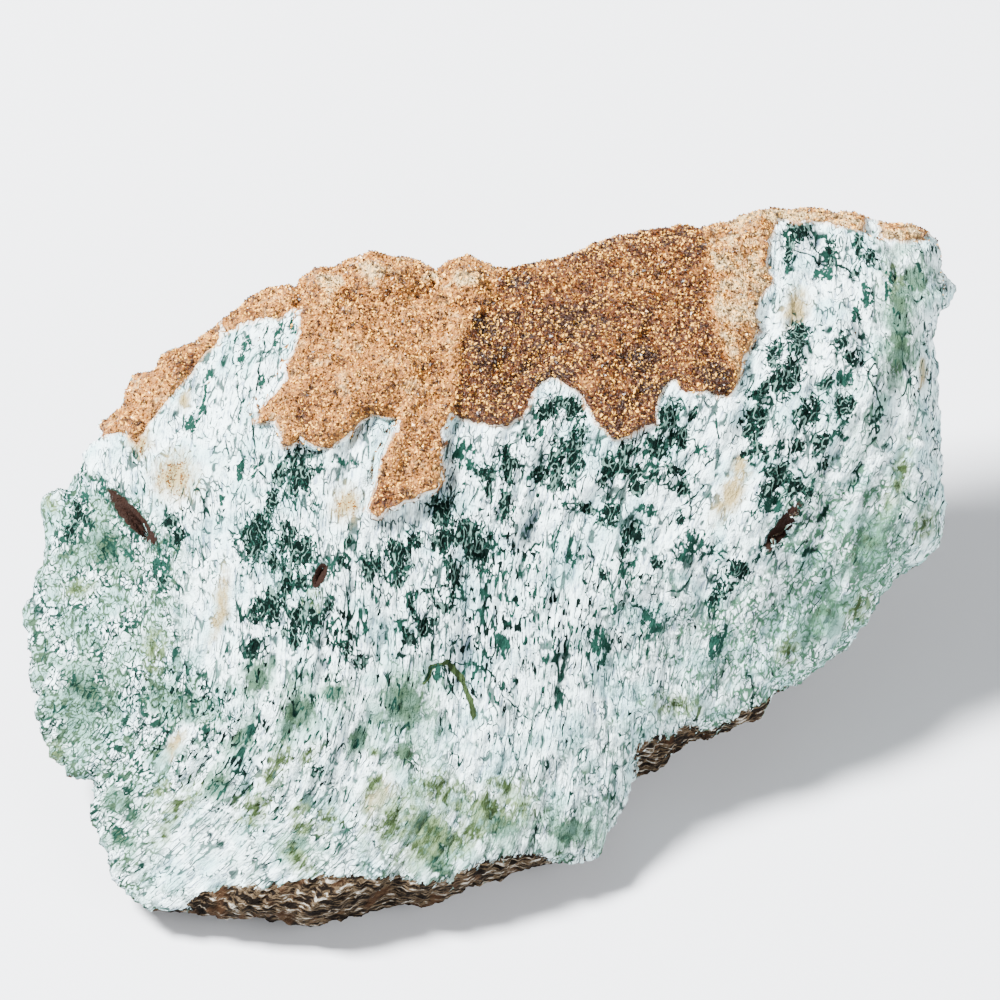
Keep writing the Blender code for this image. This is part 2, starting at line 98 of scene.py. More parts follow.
EDGE_RINDS = [
    [(-58.5, 19.6), (-56.0, 20.6), (-53.4, 18.6), (-51.6, 21.4), (-48.6, 25.4), (-45.2, 28.9), (-42.9, 31.8),
     (-41.2, 33.4), (-41.0, 37.0), (-60.0, 40.0)],
    [(-39.6, 34.8), (-37.6, 36.5), (-34.9, 37.4), (-31.9, 37.4), (-29.8, 38.6), (-27.0, 38.9), (-27.0, 46.0),
     (-42.0, 42.0)],
    [(43.2, 52.3), (48.0, 52.2), (52.0, 51.7), (56.6, 50.7), (57.0, 56.0), (43.2, 58.0)],
    [(59.5, 49.4), (62.0, 48.9), (65.6, 49.1), (68.0, 52.0), (59.0, 55.0)],
]
LOWER_RINDS = [
    [(-45.6, -50.4), (-42.7, -48.8), (-39.9, -47.9), (-35.8, -47.6), (-33.5, -48.2), (-30.5, -47.2),
     (-25.7, -46.2), (-21.3, -46.6), (-16.2, -46.6), (-12.9, -46.8), (-10.3, -47.6), (-5.7, -47.0),
     (-3.7, -45.6), (0.8, -43.9), (6.1, -43.0), (9.0, -43.8), (12.0, -56.0), (-44.0, -62.0)],
    [(21.6, -27.6), (24.5, -25.6), (26.9, -25.7), (28.9, -24.5), (30.2, -23.7), (32.2, -25.0), (35.1, -23.7),
     (37.5, -22.3), (41.6, -20.2), (44.2, -18.6), (45.4, -30.0), (22.0, -36.0)],
]

# The rind changes at two low ledges: it is pale left of the first, golden between them, and cream beyond.
LEFT_LEDGE = [(-6.3, 15.0), (-5.7, 23.0), (-4.5, 27.8), (-4.1, 33.1), (-2.3, 37.1), (0.8, 39.9), (2.7, 43.6)]
RIGHT_LEDGE = [(37.6, 20.0), (36.9, 27.1), (34.9, 32.3), (33.4, 39.9), (32.8, 48.9)]
# Dark patches of the rind, as (across, up, half length, half width): most are stains, and those along the
# left ledge are painted shadow.
RIND_STAINS_AND_SHADOWS = [
    (1.0, 26.3, 6.0, 5.0), (8.3, 28.6, 5.5, 3.0), (23.5, 31.0, 5.5, 4.5), (24.8, 26.5, 5.0, 3.0),
    (13.5, 36.9, 7.0, 4.0), (-0.5, 33.4, 4.0, 9.0), (19.6, 22.5, 4.0, 4.0), (-21.8, 39.9, 2.6, 2.0),
    (-27.0, 23.0, 4.5, 3.5), (38.2, 33.2, 1.6, 4.2), (-16.0, 10.5, 2.5, 3.5), (34.0, 28.5, 3.5, 2.0),
    (-36.0, 38.0, 2.0, 1.4), (-46.0, 31.0, 4.0, 3.0), (-8.0, 30.0, 2.0, 4.0), (4.0, 42.0, 4.0, 2.0),
]
RIND_LIGHTS = [
    (-17.8, 44.2, 3.4, 1.8), (-24.1, 42.6, 2.8, 1.6), (-3.5, 43.0, 3.0, 1.4), (44.0, 53.0, 5.0, 0.9),
    (-9.0, 43.4, 2.0, 1.0),
]

# Clumps of dark moss as (across, up, half length, half width). Each lies along the way the stone broke.
DARK_MOSS = [
    (-28.9, 13.8, 3.3, 2.0), (-32.8, 9.6, 2.6, 0.8), (-31.4, 13.8, 1.2, 0.7), (-35.2, 3.4, 3.0, 2.0),
    (-34.3, 5.7, 2.2, 1.4), (-30.4, 4.4, 2.1, 1.2), (-28.3, 1.7, 2.1, 1.5), (-32.4, 0.5, 1.6, 0.8),
    (-30.7, -1.2, 0.7, 0.7), (-30.4, -2.9, 1.2, 1.1), (-28.3, -2.7, 1.4, 0.9), (-32.8, -6.0, 2.6, 1.7),
    (-35.2, -7.1, 1.6, 0.9), (-28.4, -8.3, 2.4, 1.8), (-25.8, -8.2, 1.3, 1.1), (-23.9, -5.8, 1.2, 0.7),
    (-31.0, -10.1, 0.8, 0.5), (-28.9, -11.9, 1.0, 0.7), (-35.3, -12.2, 2.0, 1.1), (-21.9, -13.1, 1.0, 0.8),
    (-22.2, 0.6, 1.4, 0.8), (-21.2, 3.4, 1.2, 0.5), (-17.8, -0.3, 2.2, 1.3), (-13.6, 1.4, 2.2, 2.0),
    (-14.9, 3.1, 1.2, 0.6), (-11.1, 3.9, 1.2, 0.9), (-13.7, -1.2, 1.8, 0.9), (-7.1, 7.8, 2.2, 1.5),
    (-7.0, 3.9, 2.0, 1.7), (-3.6, 5.1, 2.2, 1.5), (-1.8, 2.5, 2.4, 2.0), (-5.5, -1.2, 2.2, 1.1),
    (-9.6, -9.5, 1.3, 1.2), (-12.0, -10.6, 1.6, 1.1), (-0.7, 13.8, 1.1, 1.5), (2.8, 14.9, 2.2, 1.4),
    (2.5, 9.2, 2.6, 0.9), (-0.4, 11.2, 1.0, 0.9), (2.3, 16.9, 0.8, 0.4), (5.8, 19.0, 0.9, 0.9),
    (7.3, 13.4, 1.3, 1.1), (8.3, 23.1, 1.6, 1.5), (12.8, 23.5, 1.6, 1.5), (10.6, 24.3, 1.0, 1.6),
    (10.1, 16.4, 2.7, 1.0), (12.7, 18.2, 2.7, 1.1), (12.8, 15.4, 1.8, 1.2), (9.8, 12.5, 1.4, 1.2),
    (11.2, 12.1, 0.7, 1.5), (20.2, 16.3, 2.2, 1.2), (17.9, 14.2, 2.2, 1.3), (21.7, 13.8, 1.3, 1.2),
    (24.9, 13.4, 0.9, 1.1), (22.3, 11.6, 1.3, 1.3), (25.5, 17.6, 1.9, 1.9), (26.8, 22.5, 1.9, 1.2),
    (28.0, 19.1, 1.4, 1.5), (28.4, 14.1, 0.7, 1.8), (28.9, 11.3, 1.0, 1.2), (30.3, 22.2, 1.2, 0.5),
    (40.1, 21.9, 2.0, 1.7), (39.0, 19.8, 1.3, 1.0), (40.4, 17.4, 1.0, 1.6), (38.7, 16.5, 0.9, 0.8),
    (43.5, 13.4, 2.6, 1.1), (41.9, 14.3, 1.1, 1.0), (41.3, 11.3, 1.5, 1.1), (45.6, 11.9, 1.9, 1.2),
    (14.2, 8.7, 0.6, 1.5), (18.0, 7.5, 2.1, 1.3), (21.4, 4.9, 1.6, 1.4), (19.9, 2.1, 1.6, 0.5),
    (17.2, -1.4, 0.9, 0.7), (24.9, 0.3, 1.1, 0.8), (28.3, 6.9, 1.2, 0.5), (37.2, -0.5, 1.3, 1.8),
    (34.2, -4.1, 1.9, 0.9), (36.2, -3.6, 1.3, 0.5), (46.5, 50.5, 1.6, 1.5), (45.2, 48.0, 2.4, 0.6),
    (51.5, 47.4, 1.8, 0.8), (55.7, 48.1, 2.0, 0.5), (57.5, 46.3, 1.1, 0.8), (55.4, 44.2, 0.8, 0.6),
    (46.2, 34.1, 2.2, 1.5), (48.5, 35.5, 0.6, 0.9), (42.8, 31.9, 2.0, 0.9), (52.9, 33.5, 1.4, 0.8),
    (54.8, 31.0, 0.9, 1.3), (45.3, 28.4, 2.9, 1.5), (43.2, 28.1, 2.3, 0.8), (41.3, 26.6, 1.3, 0.9),
    (39.8, 25.4, 0.8, 1.0), (50.6, 27.2, 1.4, 0.8), (47.9, 23.0, 2.1, 1.6), (52.6, 23.7, 1.7, 1.0),
    (54.4, 23.6, 1.6, 0.8), (46.2, 18.0, 1.3, 0.9), (49.7, 18.3, 1.5, 1.2), (50.3, 15.2, 1.2, 0.5),
    (47.6, 10.8, 1.2, 0.8), (58.3, 21.5, 1.9, 0.5), (-62.4, 8.0, 1.8, 0.8), (-63.5, 4.6, 1.3, 0.9),
    (-60.9, 7.0, 0.9, 0.8), (-47.8, 6.4, 1.3, 1.0), (-47.1, 4.0, 1.3, 0.9), (-49.0, -2.4, 0.9, 0.8),
]

# Clumps of paler, feathery moss.
PALE_MOSS = [
    (-3.9, 16.3, 2.3, 2.1), (-43.4, 24.4, 3.0, 0.5), (-45.2, 21.2, 1.4, 1.1), (-42.6, 28.6, 1.6, 0.6),
    (-37.4, 14.4, 2.6, 0.5), (-35.5, 14.9, 2.2, 0.6), (-40.7, 9.1, 2.6, 0.5), (-31.6, 35.0, 3.0, 0.5),
    (-29.6, 35.9, 1.4, 0.5), (-36.8, 32.4, 2.4, 0.6), (-34.3, 27.6, 1.2, 0.5), (-21.6, 15.4, 0.5, 1.9),
    (-14.3, -9.1, 1.4, 1.0), (-18.6, -9.4, 1.4, 0.6), (-11.7, -4.7, 1.2, 0.9), (7.6, 20.0, 1.8, 0.6),
    (20.7, -0.4, 1.8, 1.2), (31.0, 3.3, 1.6, 2.4), (28.6, 0.9, 1.0, 1.2), (41.0, 9.3, 2.2, 1.2),
    (42.9, 9.3, 1.5, 1.0), (43.4, 17.2, 1.2, 0.8), (56.6, 41.0, 2.4, 0.9), (55.4, 37.1, 1.8, 0.8),
    (53.2, 28.2, 1.2, 1.8), (60.2, 42.6, 1.8, 0.9), (53.2, 19.5, 1.0, 1.2), (-49.3, -0.2, 2.0, 1.4),
    (-54.2, 2.0, 1.2, 0.8), (-58.2, 11.6, 1.2, 0.8), (-61.0, 10.2, 0.9, 0.8), (24.0, 8.4, 1.0, 1.8),
    (50.6, 43.9, 0.9, 1.6), (44.6, 43.8, 1.2, 0.4), (31.8, 17.0, 0.7, 1.4), (-26.4, 9.4, 1.1, 0.4),
    (-7.4, -16.0, 1.2, 1.0), (2.0, -12.0, 2.0, 1.0), (12.0, 1.0, 1.4, 0.8), (16.4, -12.0, 3.0, 1.6),
    (24.0, -9.0, 2.4, 1.4), (34.0, -12.0, 2.0, 1.2),
]

# Rings of moss, as (across, up, radius).
MOSS_RINGS = [
    (-6.9, -4.7, 1.7), (-21.9, -10.6, 1.3), (-19.5, -14.6, 0.9), (-9.4, -6.0, 2.4), (-30.3, -1.0, 0.8),
    (-28.5, 31.5, 0.1), (-25.6, -30.8, 0.7),
]

# Thin dark threads of moss along cracks.
THREADS = [
    [(-35.7, 21.4), (-34.9, 15.2), (-32.8, 11.7), (-31.1, 5.7)],
    [(-16.1, 14.6), (-17.9, 10.0), (-19.0, 7.4), (-20.4, 2.0)],
    [(16.3, 18.6), (16.5, 14.4)],
    [(21.4, 17.2), (23.0, 19.6), (24.6, 20.1)],
    [(33.8, 23.0), (34.3, 19.2), (33.3, 15.6), (30.4, 13.4)],
    [(9.4, 8.3), (11.0, 9.6), (13.2, 9.2)],
    [(14.5, 3.0), (15.7, 1.5), (14.2, -1.0), (14.2, -2.9)],
    [(26.4, 5.2), (27.8, 7.8)],
    [(32.1, 11.6), (30.3, 9.9), (28.6, 8.9)],
    [(-54.5, 16.0), (-52.4, 13.9), (-52.0, 12.3), (-52.7, 8.0)],
    [(-57.4, 12.0), (-55.2, 9.0), (-52.6, 5.8), (-49.6, 3.2)],
    [(-46.1, 4.5), (-47.2, 0.9)],
    [(46.2, 47.7), (50.3, 45.3), (53.1, 45.0), (54.9, 44.0)],
    [(-6.3, -15.6), (-6.1, -18.9), (-6.8, -21.3), (-7.3, -25.1)],
    [(-4.5, -14.8), (-1.5, -15.4), (0.8, -16.7), (2.1, -19.6), (5.6, -23.0)],
    [(-6.1, -14.6), (-8.7, -15.6), (-9.8, -17.0)],
    [(56.0, 30.4), (58.2, 26.0), (58.6, 20.6)],
    [(31.0, -1.0), (28.6, -3.6), (24.0, -4.2)],
    [(-38.0, 36.0), (-38.6, 30.8), (-37.6, 25.0)],
    [(-33.4, 36.4), (-34.6, 31.0), (-35.0, 26.0)],
]

# Soft green clouds under the surface, olive stains, and cream patches.
CLOUDS = [
    (-28.7, -21.8, 2.7, 2.2), (-23.4, -19.1, 1.5, 1.4), (-12.9, -20.9, 3.3, 3.1), (-19.5, -26.0, 1.6, 1.4),
    (-12.9, -28.0, 1.5, 1.5), (-34.9, -17.0, 2.0, 1.5), (-40.9, -32.8, 1.8, 1.4), (-56.2, -35.4, 1.6, 1.2),
    (-53.8, -37.6, 1.3, 1.0), (-55.6, -40.8, 1.2, 1.8), (-28.9, -42.3, 1.7, 1.7), (-9.0, -40.5, 3.0, 4.0),
    (-7.6, -44.7, 1.4, 2.6), (-61.0, -20.0, 5.0, 3.0), (-47.5, -20.5, 1.6, 4.0), (61.8, 36.0, 8.0, 1.6),
    (57.5, 3.0, 5.0, 2.4), (64.5, 43.0, 2.0, 1.8), (50.0, -8.0, 3.0, 1.6), (-30.4, -24.8, 1.2, 1.0),
    (-37.6, -26.0, 2.0, 1.0), (0.5, -38.5, 2.0, 4.0), (12.0, -40.0, 2.0, 3.0), (-58.5, 3.0, 3.0, 3.0),
]
OLIVES = [
    (-31.2, -29.1, 1.6, 1.1), (-32.8, -31.5, 1.2, 1.1), (-26.9, -28.0, 1.4, 0.6), (-35.5, -36.3, 2.0, 1.4),
    (-28.6, -36.6, 1.0, 0.6), (-28.3, -38.9, 0.9, 0.8), (-24.5, -38.0, 1.2, 1.2), (-49.0, -40.4, 1.4, 0.8),
    (-49.4, -33.9, 1.4, 0.7), (-46.9, -36.4, 3.0, 1.1), (-14.9, -38.5, 3.2, 2.0), (-7.6, -33.6, 1.7, 2.6),
    (-10.0, -41.5, 3.2, 1.6), (-3.0, -40.0, 2.6, 1.4),
    (0.0, -35.7, 1.7, 2.6), (2.4, -33.0, 1.0, 2.0), (5.0, -36.3, 1.5, 1.4), (-26.7, -5.8, 1.4, 1.1),
    (-17.1, -32.6, 2.0, 0.8), (-66.0, 9.3, 0.9, 0.8), (-62.0, -3.6, 0.8, 1.6), (-50.4, -12.7, 2.0, 1.0),
    (55.7, -6.5, 1.8, 1.0), (65.8, 6.1, 1.8, 1.0), (44.6, -12.8, 1.4, 1.0), (60.3, 43.5, 1.6, 1.0),
    (-28.6, -44.2, 0.8, 2.0), (-17.5, -28.0, 0.7, 0.6), (-66.6, -29.0, 1.6, 1.2), (62.0, 14.0, 4.0, 0.8),
    (28.0, -21.0, 1.0, 2.4),
]
OLIVE_THREADS = [
    [(-6.5, -14.4), (-5.4, -15.4), (-4.4, -17.4), (-3.0, -19.8), (-2.4, -22.7)],
    [(-6.5, -14.4), (-8.7, -15.6), (-9.8, -17.4)],
]
CREAMS = [
    (-47.4, 13.2, 3.6, 3.4), (-40.3, -6.0, 5.4, 1.1), (-47.4, -27.3, 2.6, 1.0), (-21.6, 9.2, 2.6, 2.3),
    (36.1, 10.5, 4.6, 1.7), (-16.5, -34.6, 2.8, 1.8), (46.0, 38.6, 3.2, 2.0), (-52.8, 18.6, 2.2, 1.8),
    (65.3, 29.0, 2.4, 0.5), (-46.0, 24.6, 1.5, 1.0), (37.4, 15.0, 1.5, 1.2),
]
CREAM_SPECKS = [(-47.4, 13.2, 3.8, 3.4), (-21.6, 9.2, 2.6, 2.3), (-52.0, 18.0, 2.0, 1.6)]

# Milky patches, where little moss shows.
MILKY = [
    (49.6, 40.8, 4.6, 4.2), (-47.4, 17.0, 5.0, 5.0), (-46.0, 27.5, 5.0, 3.6), (-22.0, 18.4, 2.0, 5.0),
    (-13.0, 7.0, 2.2, 3.0), (-19.0, 4.0, 2.6, 2.0), (11.6, -1.7, 3.0, 2.6), (24.0, 3.0, 2.4, 2.6),
    (30.3, -2.7, 2.0, 3.2), (32.1, -12.4, 1.9, 1.7), (24.6, -16.9, 2.2, 1.8), (3.1, -14.6, 2.0, 1.8),
    (47.8, 14.3, 1.9, 1.6), (52.0, 13.2, 3.2, 1.3), (58.0, 16.2, 2.4, 1.6), (54.7, 7.5, 3.2, 0.9),
    (53.3, -1.7, 2.2, 1.1), (51.5, -10.4, 3.4, 1.5), (65.0, 2.2, 3.4, 1.2), (-30.8, -15.6, 3.0, 1.6),
    (-43.6, -44.4, 3.4, 9.0), (-21.1, -30.9, 2.0, 3.4), (36.1, 11.0, 7.0, 2.6), (-40.3, -4.0, 12.0, 2.2),
    (-47.0, -27.0, 5.0, 1.4), (-23.0, 9.0, 3.4, 3.2), (33.6, 18.0, 3.0, 2.2), (48.6, 29.6, 2.0, 1.2),
    (-25.0, 14.0, 3.0, 3.0), (61.0, 46.0, 3.0, 1.6), (-9.4, -24.6, 2.0, 1.6), (-1.6, -22.0, 2.0, 1.4),
    (14.6, -22.0, 3.6, 1.6), (-14.6, -31.0, 1.6, 3.0),
]

# How strong the fine moss is near each place, as (across, up, curls, dashes).
FINE_MOSS = [
    (-60.0, -4.0, 0.95, 0.10), (-62.0, -18.0, 1.00, 0.05), (-60.0, -28.0, 0.95, 0.05),
    (-52.0, -8.0, 0.90, 0.15), (-48.0, -21.0, 1.00, 0.85), (-56.0, -40.0, 0.65, 0.20),
    (-44.0, 22.0, 0.05, 0.05), (-36.0, 30.0, 0.10, 0.15), (-36.0, 12.0, 0.05, 0.40),
    (-40.0, -8.0, 0.05, 0.15), (-30.0, -12.0, 0.10, 0.80), (-22.0, -6.0, 0.10, 0.75),
    (-16.0, 12.0, 0.00, 0.05), (-14.0, -8.0, 0.15, 0.60), (-38.0, -30.0, 0.35, 0.85),
    (-44.0, -44.0, 0.35, 0.10), (-24.0, -24.0, 0.25, 0.75), (-24.0, -34.0, 0.45, 0.50),
    (-10.0, -36.0, 0.50, 0.05), (-8.0, -44.0, 0.50, 0.00), (6.0, -38.0, 0.50, 0.05),
    (-4.0, 8.0, 0.05, 0.65), (4.0, 0.0, 0.10, 1.00), (2.0, -10.0, 0.10, 1.00), (10.0, -12.0, 0.25, 1.00),
    (8.0, -24.0, 0.25, 0.55), (16.0, -32.0, 0.45, 0.20), (20.0, -8.0, 0.40, 0.80),
    (28.0, -10.0, 0.55, 0.45), (20.0, -20.0, 0.40, 0.40), (30.0, -20.0, 0.60, 0.10),
    (34.0, 10.0, 0.00, 0.05), (24.0, 10.0, 0.05, 0.20), (14.0, 10.0, 0.05, 0.35), (8.0, 20.0, 0.05, 0.10),
    (28.0, 20.0, 0.00, 0.05), (44.0, 22.0, 0.10, 0.20), (46.0, 2.0, 0.70, 0.15), (40.0, -12.0, 0.70, 0.05),
    (54.0, 4.0, 0.70, 0.05), (60.0, 10.0, 0.60, 0.25), (56.0, 24.0, 0.40, 0.35), (62.0, 30.0, 0.20, 0.45),
    (66.0, 16.0, 0.20, 0.40), (52.0, 48.0, 0.10, 0.10), (64.0, 42.0, 0.25, 0.40), (49.0, 40.0, 0.00, 0.00),
    (44.0, 44.0, 0.00, 0.15), (38.0, 4.0, 0.30, 0.20),
]
FINE_REACH = 4.5

# The recessed reddish slots, as (across, up, half length, half width, degrees from level, rise).
SLOTS = [
    (-53.9, 7.3, 5.9, 1.30, -47.0, 0.5),
    (43.8, 5.6, 4.9, 1.15, 54.0, 2.2),
    (-25.4, -1.4, 2.2, 0.95, 66.0, 0.9),
]


def colour(red, green, blue):
    """A screen colour of 0 to 255 as the linear colour that a material takes."""
    steps = [value / 255.0 for value in (red, green, blue)]
    return tuple(step / 12.92 if step <= 0.04045 else ((step + 0.055) / 1.055) ** 2.4 for step in steps)


def colour_input(name, description, red, green, blue):
    """A colour that a user may change."""
    return FloatVectorProperty(name=name, description=description, subtype="COLOR", size=3,
                               min=0.0, max=1.0, default=colour(red, green, blue))


def length_input(name, description, default):
    """A length in metres that a user may change."""
    return FloatProperty(name=name, description=description, unit="LENGTH", precision=5, min=0.0,
                         default=default)


class AgateShape(bpy.types.PropertyGroup):
    """The sizes of the stone's surface."""

    skin: length_input("Skin spacing", "Distance between the points of the skin", 0.40 * MM)
    rind_rise: length_input("Rind rise", "Height of the rind's edge above the broken face", 0.6 * MM)
    ridges: length_input("Ridges", "Height of the ridges of the broken face", 0.62 * MM)
    fibres: length_input("Fibres", "Height of the fine fibres on the ridges", 0.34 * MM)
    crumbs: length_input("Crumbs", "Height of the crumbs all over the break", 0.26 * MM)
    grains: length_input("Grains", "Height of the grains of the rind", 0.24 * MM)


class AgateColours(bpy.types.PropertyGroup):
    """The colours of the stone."""

    chalk: colour_input("Chalk", "White chalcedony", 228, 249, 251)
    # Shade: painted shade in the low parts of the fine fibres of the white.
    shade: colour_input("Shade", "Fine grey fibres in the white", 112, 130, 152)
    moss: colour_input("Moss", "Dark green moss", 2, 14, 11)
    fern: colour_input("Fern", "Paler green moss", 20, 50, 42)
    lace: colour_input("Lace", "Fine green curls", 20, 46, 38)
    cloud: colour_input("Cloud", "Soft green under the surface", 54, 76, 58)
    olive: colour_input("Olive", "Olive stains", 44, 58, 34)
    cream: colour_input("Cream", "Cream patches", 150, 134, 94)
    slot: colour_input("Slot", "Reddish stone in the slots", 34, 25, 22)
    tan: colour_input("Tan", "Pale rind", 156, 101, 45)
    golden: colour_input("Golden", "Golden rind", 76, 37, 7)
    # Umber: the dark rind's own colour, also used for painted shade in crevices, between the grains and on
    # shaded grains.
    umber_and_shade: colour_input("Umber", "Dark rind, also in the gaps between the grains", 26, 11, 5)
    pale_rind: colour_input("Pale rind", "Palest rind", 204, 174, 124)
    # Glint: the colour of painted highlights on the brightest grains of the rind.
    glint: colour_input("Glint", "Brightest grains of the rind", 252, 190, 90)
    cool: colour_input("Cool", "Broad cool patches of the white", 150, 200, 204)
    # Hollow shade: painted shade in the hollows of the white, darker where the surface sinks.
    hollow_shade: colour_input("Hollow shade", "Hollows of the white", 74, 90, 106)
    # Line: thin dark lines in the white, partly fine green squiggles of the stone and partly painted shade
    # in crevices.
    line: colour_input("Line", "Thin lines in the white", 28, 50, 45)
    haze: colour_input("Haze", "Faint green around the clouds", 112, 146, 120)
    speck: colour_input("Speck", "Specks in the cream patches", 92, 56, 20)
    tinge: colour_input("Tinge", "Faint green under the curls", 112, 152, 144)
    pale_lace: colour_input("Pale lace", "Fine curls on the right side", 64, 98, 78)
    olive_haze: colour_input("Olive haze", "Faint olive around the stains", 108, 128, 88)
    parting: colour_input("Parting", "Thin gaps in the dark moss", 116, 150, 140)
    blush: colour_input("Blush", "White stone along the rind's edge", 206, 160, 120)
    # The lower rind's layer colours are partly its own dark layers and partly painted shade, darkened
    # because the lower edge and underside lie in shade.
    dark_layer: colour_input("Dark layer", "Dark layers of the lower rind", 14, 10, 7)
    brown_layer: colour_input("Brown layer", "Brown layers of the lower rind", 72, 60, 45)
    grey_layer: colour_input("Grey layer", "Grey layers of the lower rind", 150, 146, 136)
    # Shade layer: patches of painted shade on the lower rind.
    shade_layer: colour_input("Shade layer", "Dim patches of the lower rind", 56, 38, 24)


class AgateCrystals(bpy.types.PropertyGroup):
    """The crystals that stand on the rind."""

    size: length_input("Crystal size", "Width of a crystal", 0.48 * MM)
    amount: FloatProperty(name="Crystals", description="Crystals on each square millimetre", min=0.0,
                          default=4.0)
    seed: IntProperty(name="Seed", description="Changes where the crystals stand", default=7)


class AgateStage(bpy.types.PropertyGroup):
    """The floor, the lights and the camera."""

    floor: FloatProperty(name="Floor", description="Width of the floor", unit="LENGTH", default=40.0)
    key: FloatProperty(name="Key light", description="Power of the main light", unit="POWER", default=230.0)
    fill: FloatProperty(name="Fill light", description="Power of the light from the right", unit="POWER",
                        default=40.0)
    distance: length_input("Camera distance", "Distance from the camera to the stone", 2.5)
    view_width: length_input("View width", "Width that the camera sees at the stone", 150.5 * MM)


def ease(value):
    """A smooth step from 0 to 1 as value goes from 0 to 1."""
    value = np.clip(value, 0.0, 1.0)
    return value * value * (3.0 - 2.0 * value)


def waves(points, size, turn=0.0):
    """Soft waves of about this size in millimetres, from -1 to 1. Another turn gives other waves."""
    places = points / np.array(size) + turn
    return np.array([noise.noise(Vector(place)) for place in places])


def ridges(points, size, turn=0.0):
    """Sharp-topped waves, from -1 in the hollows to 1 on the tops."""
    return 1.0 - 3.0 * np.abs(waves(points, size, turn))


def plane_places(points):
    """Points in millimetres as (across, up, out) on the plane of the broken face."""
    offset = points - np.array(PLANE_ORIGIN)
    across = offset[:, 0]
    up = offset[:, 1] * math.sin(FACING) + offset[:, 2] * math.cos(FACING)
    out = offset[:, 2] * math.sin(FACING) - offset[:, 1] * math.cos(FACING)
    return across, up, out


def blend_near(places, reach, across, up):
    """Each value that the places give, blended smoothly between them."""
    table = np.array(places, dtype=float)
    total = np.zeros((len(across), table.shape[1] - 2))
    share = np.full(len(across), TINY)
    for row in table:
        weight = np.exp(-((across - row[0]) ** 2 + (up - row[1]) ** 2) / (2.0 * reach**2)) + TINY
        total += weight[:, None] * row[2:]
        share += weight
    return total / share[:, None]


def run_angle(across, up):
    """The way that the stone broke, in radians from level, at each place."""
    turns = [(x, y, math.cos(math.radians(run)), math.sin(math.radians(run))) for x, y, run in RUNS]
    ways = blend_near(turns, RUN_REACH, across, up)
    return np.arctan2(ways[:, 1], ways[:, 0])


def crumbled(across, up):
    """Places moved a little this way and that, so that what is drawn from them gets a natural edge."""
    places = np.column_stack((across, up, np.zeros(len(across))))
    shift_x = 0.6 * waves(places, 2.8, 15.0) + 0.4 * waves(places, 1.1, 16.0)
    shift_y = 0.6 * waves(places, 2.8, 17.0) + 0.4 * waves(places, 1.1, 18.0)
    return across + shift_x, up + shift_y


def run_terms(across, up):
    """The powers of across and up that the run coordinates are made of, with their slopes."""
    x, y = across / 70.0, up / 70.0
    values, slopes_x, slopes_y = [], [], []
    for total in range(1, RUN_TERMS + 1):
        for power in range(total + 1):
            rest = total - power
            values.append(x**rest * y**power)
            slopes_x.append(rest * x ** max(rest - 1, 0) * y**power / 70.0)
            slopes_y.append(power * x**rest * y ** max(power - 1, 0) / 70.0)
    return np.array(values).T, np.array(slopes_x).T, np.array(slopes_y).T


def run_coordinates(across, up, out):
    """Coordinates in millimetres that bend with the break: over the ridges, along them, and outward."""
    grid_x, grid_y = np.meshgrid(np.linspace(-70.0, 70.0, 29), np.linspace(-54.0, 54.0, 23))
    grid_x, grid_y = grid_x.ravel(), grid_y.ravel()
    angle = run_angle(grid_x, grid_y)
    _, slopes_x, slopes_y = run_terms(grid_x, grid_y)
    slopes = np.vstack((slopes_x, slopes_y))
    over_way = np.concatenate((np.sin(angle), -np.cos(angle)))
    along_way = np.concatenate((np.cos(angle), np.sin(angle)))
    over = np.linalg.lstsq(slopes, over_way, rcond=None)[0]
    along = np.linalg.lstsq(slopes, along_way, rcond=None)[0]
    values, _, _ = run_terms(np.clip(across, -72.0, 72.0), np.clip(up, -56.0, 56.0))
    return np.column_stack((values @ over, values @ along, out))


def clumps(places, across, up, angle):
    """How deep each place is in the nearest clump: 1 in its middle, 0 at its edge, below 0 outside."""
    depth = np.full(len(across), -FAR)
    cosine, sine = np.cos(angle), np.sin(angle)
    for x, y, half_length, half_width in places:
        shift_x, shift_y = across - x, up - y
        along = (shift_x * cosine + shift_y * sine) / half_length
        over = (shift_y * cosine - shift_x * sine) / half_width
        depth = np.maximum(depth, 1.0 - np.hypot(along, over))
    return depth


def slot_depth(across, up):
    """How deep each place is in the nearest slot, in the same way as for clumps, and that slot's rise."""
    depth = np.full(len(across), -FAR)
    rise = np.zeros(len(across))
    for x, y, half_length, half_width, turn, slot_rise in SLOTS:
        turns = np.full(len(across), math.radians(turn))
        here = clumps([(x, y, half_length, half_width)], across, up, turns)
        rise = np.where(here > depth, slot_rise, rise)
        depth = np.maximum(depth, here)
    return depth, rise


def line_gap(across, up, points):
    """The distance from each place to a line through the points, and the side of the line it is on."""
    places = np.column_stack((across, up))
    nearest = np.full(len(places), np.inf)
    side = np.ones(len(places))
    for start, end in zip(np.array(points[:-1]), np.array(points[1:])):
        way = end - start
        offset = places - start
        along = np.clip(offset @ way / (way @ way), 0.0, 1.0)
        gap = np.linalg.norm(offset - along[:, None] * way, axis=1)
        closer = gap < nearest
        nearest = np.where(closer, gap, nearest)
        side = np.where(closer, np.sign(way[0] * offset[:, 1] - way[1] * offset[:, 0]), side)
    return nearest, side


def threads(lines, across, up):
    """The distance to the nearest thread, and the same distance below 0 on one side of it.

    The second passes through 0 right on the thread, so the thread stays thinner than the mesh's faces.
    """
    nearest = np.full(len(across), np.inf)
    signed = np.full(len(across), np.inf)
    for points in lines:
        gap, side = line_gap(across, up, points)
        closer = gap < nearest
        nearest = np.where(closer, gap, nearest)
        signed = np.where(closer, gap * side, signed)
    return np.minimum(nearest, FAR), np.clip(signed, -FAR, FAR)


